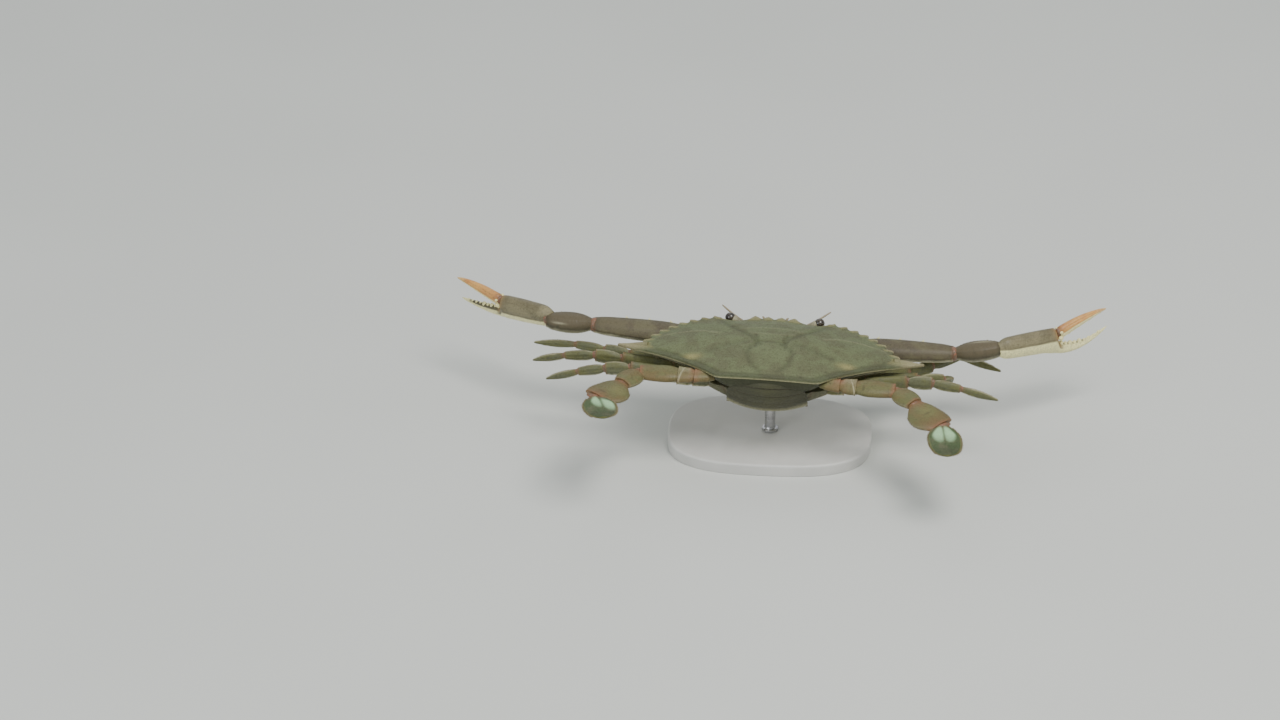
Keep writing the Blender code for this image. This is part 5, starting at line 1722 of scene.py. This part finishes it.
class Finish:
    """A node material, put together from patterns in the piece's own millimetres."""

    def __init__(self, name):
        self.material = bpy.data.materials.new(name)
        self.material.use_nodes = True
        self.tree = self.material.node_tree
        self.shader = next(n for n in self.tree.nodes if n.type == "BSDF_PRINCIPLED")
        self.place = self.node("ShaderNodeTexCoord").outputs["Object"]
        self.paint = self.node("ShaderNodeAttribute")
        self.paint.attribute_name = "paint"
        split = self.node("ShaderNodeSeparateColor")
        self.tree.links.new(self.paint.outputs["Color"], split.inputs["Color"])
        self.masks = dict(
            pale=split.outputs["Red"], red=split.outputs["Green"],
            accent=split.outputs["Blue"], dark=self.paint.outputs["Alpha"],
        )

    def node(self, kind, inputs=(), **settings):
        """A new node with its settings, and a value or a link for each input."""
        node = self.tree.nodes.new(kind)
        for key, value in settings.items():
            setattr(node, key, value)
        for socket, value in dict(inputs).items():
            self.put(node, socket, value)
        return node

    def put(self, node, socket, value):
        """Links or sets one input."""
        if isinstance(value, NodeSocket):
            self.tree.links.new(value, node.inputs[socket])
        else:
            node.inputs[socket].default_value = value

    def spots(self, per_mm, detail, rough=0.55, twist=0.0):
        """Cloudy spots, so many to the millimetre."""
        inputs = dict(Vector=self.place, Scale=per_mm / MM, Detail=detail, Roughness=rough, Distortion=twist)
        return self.node("ShaderNodeTexNoise", inputs).outputs["Fac"]

    def grains(self, per_mm, smoothness=0.6):
        """Round grains, so many to the millimetre: the distance from the middle of each."""
        inputs = dict(Vector=self.place, Scale=per_mm / MM, Smoothness=smoothness)
        return self.node("ShaderNodeTexVoronoi", inputs, feature="SMOOTH_F1").outputs["Distance"]

    def spread(self, value, low, high, out_low=0.0, out_high=1.0):
        """A pattern's values from low to high, laid evenly over the new range."""
        inputs = {"From Min": low, "From Max": high, "To Min": out_low, "To Max": out_high, "Value": value}
        return self.node("ShaderNodeMapRange", inputs, interpolation_type="SMOOTHSTEP").outputs["Result"]

    def count(self, how, a, b):
        """A sum or another reckoning with two values."""
        return self.node("ShaderNodeMath", {0: a, 1: b}, operation=how).outputs[0]

    def over(self, under, colour, share):
        """One colour laid over another by a share. Each is a pattern or three numbers."""
        layers = [c if isinstance(c, NodeSocket) else (*c, 1.0) for c in (under, colour)]
        return self.node("ShaderNodeMix", {0: share, 6: layers[0], 7: layers[1]}, data_type="RGBA").outputs[2]

    def made(self, colour, rough, bumps=(), **sockets):
        """Joins colour, roughness and bumps, one over another: (height, depth in millimetres).

        The other constants are set on the shader's own sockets. Returns the material.
        """
        self.put(self.shader, "Base Color", colour)
        self.put(self.shader, "Roughness", rough)
        below = {}
        for height, depth in bumps:
            inputs = dict(below, Height=height, Distance=depth * MM, Strength=1.0)
            below = dict(Normal=self.node("ShaderNodeBump", inputs).outputs["Normal"])
        for name, value in dict(sockets, **below).items():
            self.put(self.shader, name.replace("_", " "), value)
        return self.material


def horn_finish(name, top, second, pale, red, accent, dark, grain, rough, wet, low_stain=0.25, shine=0.30):
    """The crab's hard skin: mottled above, pale below, red at its joints, with fine pimples and painted shade
    between them.
    """
    finish = Finish(name)
    masks = finish.masks
    clouds = finish.spots(0.11, 4.0, 0.6, 0.4)
    flecks = finish.spots(0.9, 3.0, 0.6)
    specks = finish.grains(2.3)
    base = finish.over(top, second, finish.spread(clouds, 0.40, 0.62))
    base = finish.over(base, dark, finish.spread(flecks, 0.52, 0.72, 0.0, 0.42))
    base = finish.over(base, accent, masks["accent"])
    base = finish.over(base, dark, finish.count("MULTIPLY", masks["dark"], 0.9))
    pale_mix = finish.over(pale, second, finish.spread(flecks, 0.50, 0.74, 0.0, low_stain))
    share = finish.count("MULTIPLY", masks["pale"], finish.spread(flecks, 0.20, 0.75, 1.12, 0.80))
    base = finish.over(base, pale_mix, finish.count("MINIMUM", share, 1.0))
    tint = finish.count("MULTIPLY", masks["red"], finish.spread(clouds, 0.30, 0.70, 0.75, 1.0))
    base = finish.over(base, red, tint)
    # Painted shade in the hollows between the pimples.
    base = finish.over(base, dark, finish.spread(specks, 0.42, 0.62, 0.0, 0.22))
    uneven = finish.spread(flecks, 0.3, 0.7, rough - 0.07, rough + 0.10)
    bumps = ((finish.spread(specks, 0.0, 0.6, 1.0, 0.0), grain), (finish.spots(2.6, 2.0), grain * 0.7))
    return finish.made(base, uneven, bumps, Coat_Weight=wet, Coat_Roughness=0.30, IOR=1.5,
                       Specular_IOR_Level=shine)


def joint_finish(name, red, deep):
    """The soft skin of the joints, wrinkled and moist, with painted shade in the hollows of its folds."""
    finish = Finish(name)
    folds = finish.spots(0.8, 4.0, 0.65, 1.2)
    fine = finish.spots(3.5, 2.0)
    # The deeper colour lies in the hollows of the folds: painted shade.
    base = finish.over(deep, red, finish.spread(folds, 0.35, 0.65))
    base = finish.over(base, (0.42, 0.24, 0.15), finish.spread(fine, 0.58, 0.75, 0.0, 0.35))
    uneven = finish.spread(folds, 0.3, 0.7, 0.32, 0.5)
    return finish.made(base, uneven, ((folds, 0.35), (fine, 0.10)), Coat_Weight=0.3, Coat_Roughness=0.2)


def hair_finish(name, root, tip):
    """Fine hair, darker at the root and straw pale at the tip."""
    finish = Finish(name)
    patches = finish.spots(0.5, 2.0)
    base = finish.over(root, tip, finish.spread(finish.masks["pale"], 0.0, 0.9))
    base = finish.over(base, root, finish.spread(patches, 0.5, 0.75, 0.0, 0.5))
    return finish.made(base, finish.spread(patches, 0.3, 0.7, 0.5, 0.65))


def eye_finish(name, colour):
    """The dark eye, with the faint net of its facets."""
    finish = Finish(name)
    facets = finish.grains(5.5, 0.2)
    clouds = finish.spots(0.7, 3.0)
    base = finish.over(colour, (0.10, 0.075, 0.045), finish.spread(clouds, 0.45, 0.75, 0.0, 0.8))
    uneven = finish.spread(clouds, 0.3, 0.7, 0.10, 0.2)
    net = finish.spread(facets, 0.0, 0.5, 1.0, 0.0)
    return finish.made(base, uneven, ((net, 0.03),), Coat_Weight=0.6, Coat_Roughness=0.06)


def base_finish(name, colour):
    """A satin painted plate, clouded a little, with a fine orange-peel skin."""
    finish = Finish(name)
    peel = finish.spots(1.4, 2.0)
    clouds = finish.spots(0.03, 3.0)
    base = finish.over(colour, tuple(c * 0.90 for c in colour), finish.spread(clouds, 0.38, 0.64))
    base = finish.over(base, tuple(c * 0.82 for c in colour), finish.spread(peel, 0.60, 0.78, 0.0, 0.35))
    return finish.made(base, finish.spread(clouds, 0.35, 0.65, 0.38, 0.52), ((peel, 0.03),))


def steel_finish(name):
    """Brushed steel, its lines running round the rod."""
    finish = Finish(name)
    stretch = finish.node("ShaderNodeMapping", dict(Vector=finish.place, Scale=(0.06, 0.06, 1.0)))
    inputs = dict(Vector=stretch.outputs["Vector"], Scale=9.0 / MM, Detail=3.0)
    lines = finish.node("ShaderNodeTexNoise", inputs).outputs["Fac"]
    clouds = finish.spots(0.25, 3.0)
    base = finish.over((0.60, 0.60, 0.61), (0.44, 0.44, 0.45), finish.spread(clouds, 0.35, 0.68))
    base = finish.over(base, (0.36, 0.36, 0.37), finish.spread(lines, 0.45, 0.75, 0.0, 0.5))
    return finish.made(base, finish.spread(lines, 0.3, 0.7, 0.24, 0.40), ((lines, 0.012),), Metallic=1.0)


def floor_finish(name, colour):
    """The plain pale studio floor."""
    finish = Finish(name)
    clouds = finish.spots(0.004, 2.0)
    base = finish.over(colour, tuple(c * 0.97 for c in colour), finish.spread(clouds, 0.35, 0.65))
    return finish.made(base, finish.spread(clouds, 0.3, 0.7, 0.75, 0.85))


# ---- studio


def add_lamp(name, place, aim, size, power, colour):
    """A round soft light at a place, turned to its aim."""
    light = bpy.data.lights.new(name, "AREA")
    light.shape = "DISK"
    light.size = size
    light.energy = power
    light.color = colour
    lamp = added(name, light)
    lamp.location = place
    lamp.rotation_euler = (Vector(aim) - Vector(place)).to_track_quat("-Z", "Y").to_euler()


def make_studio(view):
    """The pale floor, the soft lights and the camera."""
    scene = bpy.context.scene
    mesh = bpy.data.meshes.new("studio_floor")
    wide = 6.0
    corners = [(-wide, -wide, 0.0), (wide, -wide, 0.0), (wide, wide, 0.0), (-wide, wide, 0.0)]
    mesh.from_pydata(corners, [], [(0, 1, 2, 3)])
    mesh.materials.append(floor_finish("studio_floor_paint", tuple(view.floor_colour)))
    floor = added("studio_floor", mesh)
    floor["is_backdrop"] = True
    world = bpy.data.worlds.new("studio_air")
    world.use_nodes = True
    air = next(n for n in world.node_tree.nodes if n.type == "BACKGROUND")
    air.inputs["Color"].default_value = (0.86, 0.92, 0.95, 1.0)
    air.inputs["Strength"].default_value = view.air
    scene.world = world
    aim = (0.0, 0.0, 0.045)
    add_lamp("key_light", (-0.5, 0.5, 1.5), aim, 0.9, view.key, (1.0, 0.98, 0.94))
    add_lamp("fill_light", (0.9, 1.1, 0.9), aim, 1.0, view.key * 0.35, (0.95, 0.98, 1.0))
    add_lamp("rim_light", (0.3, -1.3, 1.3), aim, 1.2, view.key * 0.15, (1.0, 1.0, 1.0))
    turn, height = radians(view.turn_deg), radians(view.height_deg)
    away = Vector((-sin(turn) * cos(height), cos(turn) * cos(height), sin(height)))
    lens = bpy.data.cameras.new("studio_camera")
    lens.lens = view.lens_mm
    lens.sensor_width = 36.0
    lens.clip_start = 0.05
    camera = added("studio_camera", lens)
    target = Vector(view.aim)
    camera.location = target + away * view.distance
    camera.rotation_euler = (-away).to_track_quat("-Z", "Y").to_euler()
    scene.camera = camera


# ---- add-on


def measure(name, description, usual, low, high, **more):
    """A number that a user would change."""
    return FloatProperty(name=name, description=description, default=usual, min=low, max=high, **more)


def paint_box(name, description, colour):
    """A colour that a user would change."""
    return FloatVectorProperty(
        name=name, description=description, subtype="COLOR", size=3, min=0.0, max=1.0, default=colour
    )


class CrabSizes(PropertyGroup):
    """Sizes of the fine detail. The crab's own measures come with its solid model."""

    relief: measure("Shell relief", "Height of its lobes and ridges", 1.0, 0.0, 2.0, subtype="FACTOR")
    hair_length: measure("Hair length", "Length of the fringes", 1.0, 0.2, 1.4, subtype="FACTOR")
    hair_width: measure("Hair width", "Thickness of one hair in millimetres", 0.12, 0.05, 0.4)
    grain: measure("Pimples", "Height of the skin's pimples in millimetres", 0.10, 0.0, 0.6)


class CrabColours(PropertyGroup):
    """The crab's colours."""

    shell: paint_box("Shell", "Olive of the shell's upper side", (0.142, 0.163, 0.080))
    shell_second: paint_box("Shell clouds", "Browner olive in the shell's clouding", (0.121, 0.126, 0.065))
    yellow: paint_box("Yellow", "Yellow of the shell's edge and spots", (0.26, 0.235, 0.080))
    ivory: paint_box("Ivory", "Ivory of the crab's under side", (0.62, 0.58, 0.38))
    cream: paint_box("Cream", "Bright cream of the hands and fingers", (0.98, 0.92, 0.48))
    claw: paint_box("Claw", "Brown of the arms and claws", (0.134, 0.118, 0.062))
    claw_second: paint_box("Claw clouds", "Purplish brown in the claws' clouding", (0.098, 0.078, 0.048))
    palm: paint_box("Palm", "Lighter brown of the hands", (0.268, 0.234, 0.132))
    rust: paint_box("Rust", "Dark red brown of the wrists", (0.111, 0.088, 0.050))
    joint: paint_box("Joint", "Red of the soft joints", (0.27, 0.108, 0.056))
    finger: paint_box("Finger", "Orange of the moving fingers", (0.72, 0.385, 0.11))
    orange: paint_box("Finger clouds", "Redder orange in the fingers' clouding", (0.62, 0.27, 0.08))
    leg: paint_box("Leg", "Olive of the legs", (0.135, 0.135, 0.050))
    oar: paint_box("Oar", "Orange brown of the swimming legs", (0.150, 0.118, 0.044))
    paddle: paint_box("Paddle", "Dark green of the paddles", (0.070, 0.105, 0.040))
    patch: paint_box("Paddle patch", "Pale green of the patch on the paddles", (0.40, 0.64, 0.36))
    shade: paint_box("Shade", "Dark olive of grooves and freckles", (0.030, 0.030, 0.016))
    hair: paint_box("Hair", "Straw colour of the hair", (0.34, 0.29, 0.16))
    eye: paint_box("Eye", "Near black of the eyes", (0.018, 0.013, 0.010))
    base: paint_box("Stand", "Warm grey of the stand's plate", (0.66, 0.65, 0.62))


class CrabView(PropertyGroup):
    """Camera and light."""

    turn_deg: measure("Turn", "Camera's turn from straight behind, in degrees", 5.0, -180.0, 180.0)
    height_deg: measure("Height", "Camera's height over level, in degrees", 28.0, -90.0, 90.0)
    distance: measure("Distance", "Camera's distance in metres", 2.3415, 0.2, 10.0, unit="LENGTH")
    lens_mm: measure("Lens", "Focal length in millimetres", 135.0, 20.0, 400.0)
    aim: FloatVectorProperty(
        name="Aim", description="Point the camera looks at", size=3, unit="LENGTH",
        default=(0.0636, 0.0059, 0.045),
    )
    key: measure("Key light", "Power of the key light in watts", 22.0, 0.0, 200.0)
    air: measure("Air light", "Strength of the even light all round", 0.55, 0.0, 5.0)
    floor_colour: paint_box("Floor", "Colour of the studio floor", (0.64, 0.65, 0.62))


# The colours of each hard skin: upper side, its clouding, pale side, red, accent and dark.
HORN_COLOURS = dict(
    shell="shell shell_second ivory joint yellow shade",
    underside="leg shell_second ivory joint yellow shade",
    claw="claw claw_second ivory joint rust shade",
    palm="palm palm_second cream finger rust shade",
    finger="finger orange cream joint rust rust",
    leg="leg shell_second ivory joint rust shade",
    oar="leg oar ivory joint yellow shade",
    paddle="paddle shell_second yellow joint patch shade",
)


class Look:
    """The finishes, and the fine sizes, that the pieces share."""

    def __init__(self, sizes, colours):
        c = {key: tuple(getattr(colours, key)) for key in CrabColours.__annotations__}
        c["palm_second"] = tuple(0.72 * v for v in c["palm"])
        self.relief, self.hair_length, self.hair_width = sizes.relief, sizes.hair_length, sizes.hair_width

        def horn(name, kind, grain, rough, wet, **more):
            skin = [c[key] for key in HORN_COLOURS[kind].split()]
            return horn_finish(name, *skin, sizes.grain * grain, rough, wet, **more)

        self.shell = horn("shell_horn", "shell", 1.0, 0.52, 0.06, shine=0.22)
        self.underside = horn("ivory_underside", "underside", 0.5, 0.50, 0.08)
        self.claw = horn("claw_horn", "claw", 1.0, 0.46, 0.10)
        self.palm = horn("palm_horn", "palm", 0.8, 0.44, 0.12, low_stain=0.10)
        self.finger = horn("finger_horn", "finger", 0.5, 0.40, 0.15, low_stain=0.10)
        self.leg = horn("leg_horn", "leg", 0.6, 0.50, 0.08)
        self.oar = horn("oar_horn", "oar", 0.5, 0.48, 0.10)
        self.paddle = horn("paddle_horn", "paddle", 0.5, 0.50, 0.08, shine=0.20)
        self.joint = joint_finish("joint_skin", c["joint"], c["rust"])
        self.hair = hair_finish("straw_hair", tuple(v * 0.7 for v in c["hair"]), c["hair"])
        self.eye = eye_finish("eye_black", c["eye"])
        self.base = base_finish("stand_paint", c["base"])
        self.steel = steel_finish("stand_steel")


LOOKS = {}


def shared_look(context):
    """The finishes, made once."""
    if "look" not in LOOKS:
        LOOKS["look"] = Look(context.scene.crab_sizes, context.scene.crab_colours)
    return LOOKS["look"]


class CRAB_OT_shell(Operator):
    """Add the toothed upper shell"""

    bl_idname = "crab.add_shell"
    bl_label = "Shell"

    def execute(self, context):
        make_shell(shared_look(context))
        return {"FINISHED"}


class CRAB_OT_body(Operator):
    """Add the body under the shell, the tail flap and the mouth plates"""

    bl_idname = "crab.add_body"
    bl_label = "Body and flap"

    def execute(self, context):
        look = shared_look(context)
        make_trunk(look)
        make_flap(look)
        make_mouth(look)
        return {"FINISHED"}


class CRAB_OT_face(Operator):
    """Add the eyes on their stalks and the feelers"""

    bl_idname = "crab.add_face"
    bl_label = "Eyes and feelers"

    def execute(self, context):
        make_face(shared_look(context))
        return {"FINISHED"}


class CRAB_OT_claws(Operator):
    """Add both claws with their arms, spines and teeth"""

    bl_idname = "crab.add_claws"
    bl_label = "Claws"

    def execute(self, context):
        make_claws(shared_look(context))
        return {"FINISHED"}


class CRAB_OT_legs(Operator):
    """Add the six walking legs"""

    bl_idname = "crab.add_legs"
    bl_label = "Walking legs"

    def execute(self, context):
        make_walking_legs(shared_look(context))
        return {"FINISHED"}


class CRAB_OT_oars(Operator):
    """Add the two swimming legs with their paddles"""

    bl_idname = "crab.add_oars"
    bl_label = "Swimming legs"

    def execute(self, context):
        make_oars(shared_look(context))
        return {"FINISHED"}


class CRAB_OT_hair(Operator):
    """Add the fringes of hair"""

    bl_idname = "crab.add_hair"
    bl_label = "Hair"

    def execute(self, context):
        make_hair(shared_look(context))
        return {"FINISHED"}


class CRAB_OT_stand(Operator):
    """Add the display stand"""

    bl_idname = "crab.add_stand"
    bl_label = "Stand"

    def execute(self, context):
        make_stand(shared_look(context))
        return {"FINISHED"}


class CRAB_OT_studio(Operator):
    """Add the floor, the lights and the camera"""

    bl_idname = "crab.add_studio"
    bl_label = "Studio"

    def execute(self, context):
        make_studio(context.scene.crab_view)
        return {"FINISHED"}


STEPS = (
    CRAB_OT_shell, CRAB_OT_body, CRAB_OT_face, CRAB_OT_claws, CRAB_OT_legs, CRAB_OT_oars, CRAB_OT_hair,
    CRAB_OT_stand, CRAB_OT_studio,
)


class CRAB_PT_panel(Panel):
    """The crab's sizes, colours and steps"""

    bl_idname = "CRAB_PT_panel"
    bl_label = "Blue crab"
    bl_space_type = "VIEW_3D"
    bl_region_type = "UI"
    bl_category = "Crab"

    def draw(self, context):
        for title in ("sizes", "colours", "view"):
            group = getattr(context.scene, "crab_" + title)
            box = self.layout.box()
            box.label(text=title.capitalize())
            for key in type(group).__annotations__:
                box.prop(group, key)
        for step in STEPS:
            self.layout.operator(step.bl_idname)


CLASSES = (CrabSizes, CrabColours, CrabView, *STEPS, CRAB_PT_panel)


def register():
    for item in CLASSES:
        bpy.utils.register_class(item)
    Scene.crab_sizes = PointerProperty(type=CrabSizes)
    Scene.crab_colours = PointerProperty(type=CrabColours)
    Scene.crab_view = PointerProperty(type=CrabView)


def unregister():
    del Scene.crab_view
    del Scene.crab_colours
    del Scene.crab_sizes
    for item in reversed(CLASSES):
        bpy.utils.unregister_class(item)


def main():
    register()
    for step in STEPS:
        group, name = step.bl_idname.split(".")
        if getattr(getattr(bpy.ops, group), name)() != {"FINISHED"}:
            raise RuntimeError(step.bl_label + " wasn't finished")
    bpy.context.view_layer.update()
    plain = [[list(map(float, corner)) for corner in box] for box in (CAD_BOX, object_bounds())]


if __name__ == "__main__":
    main()
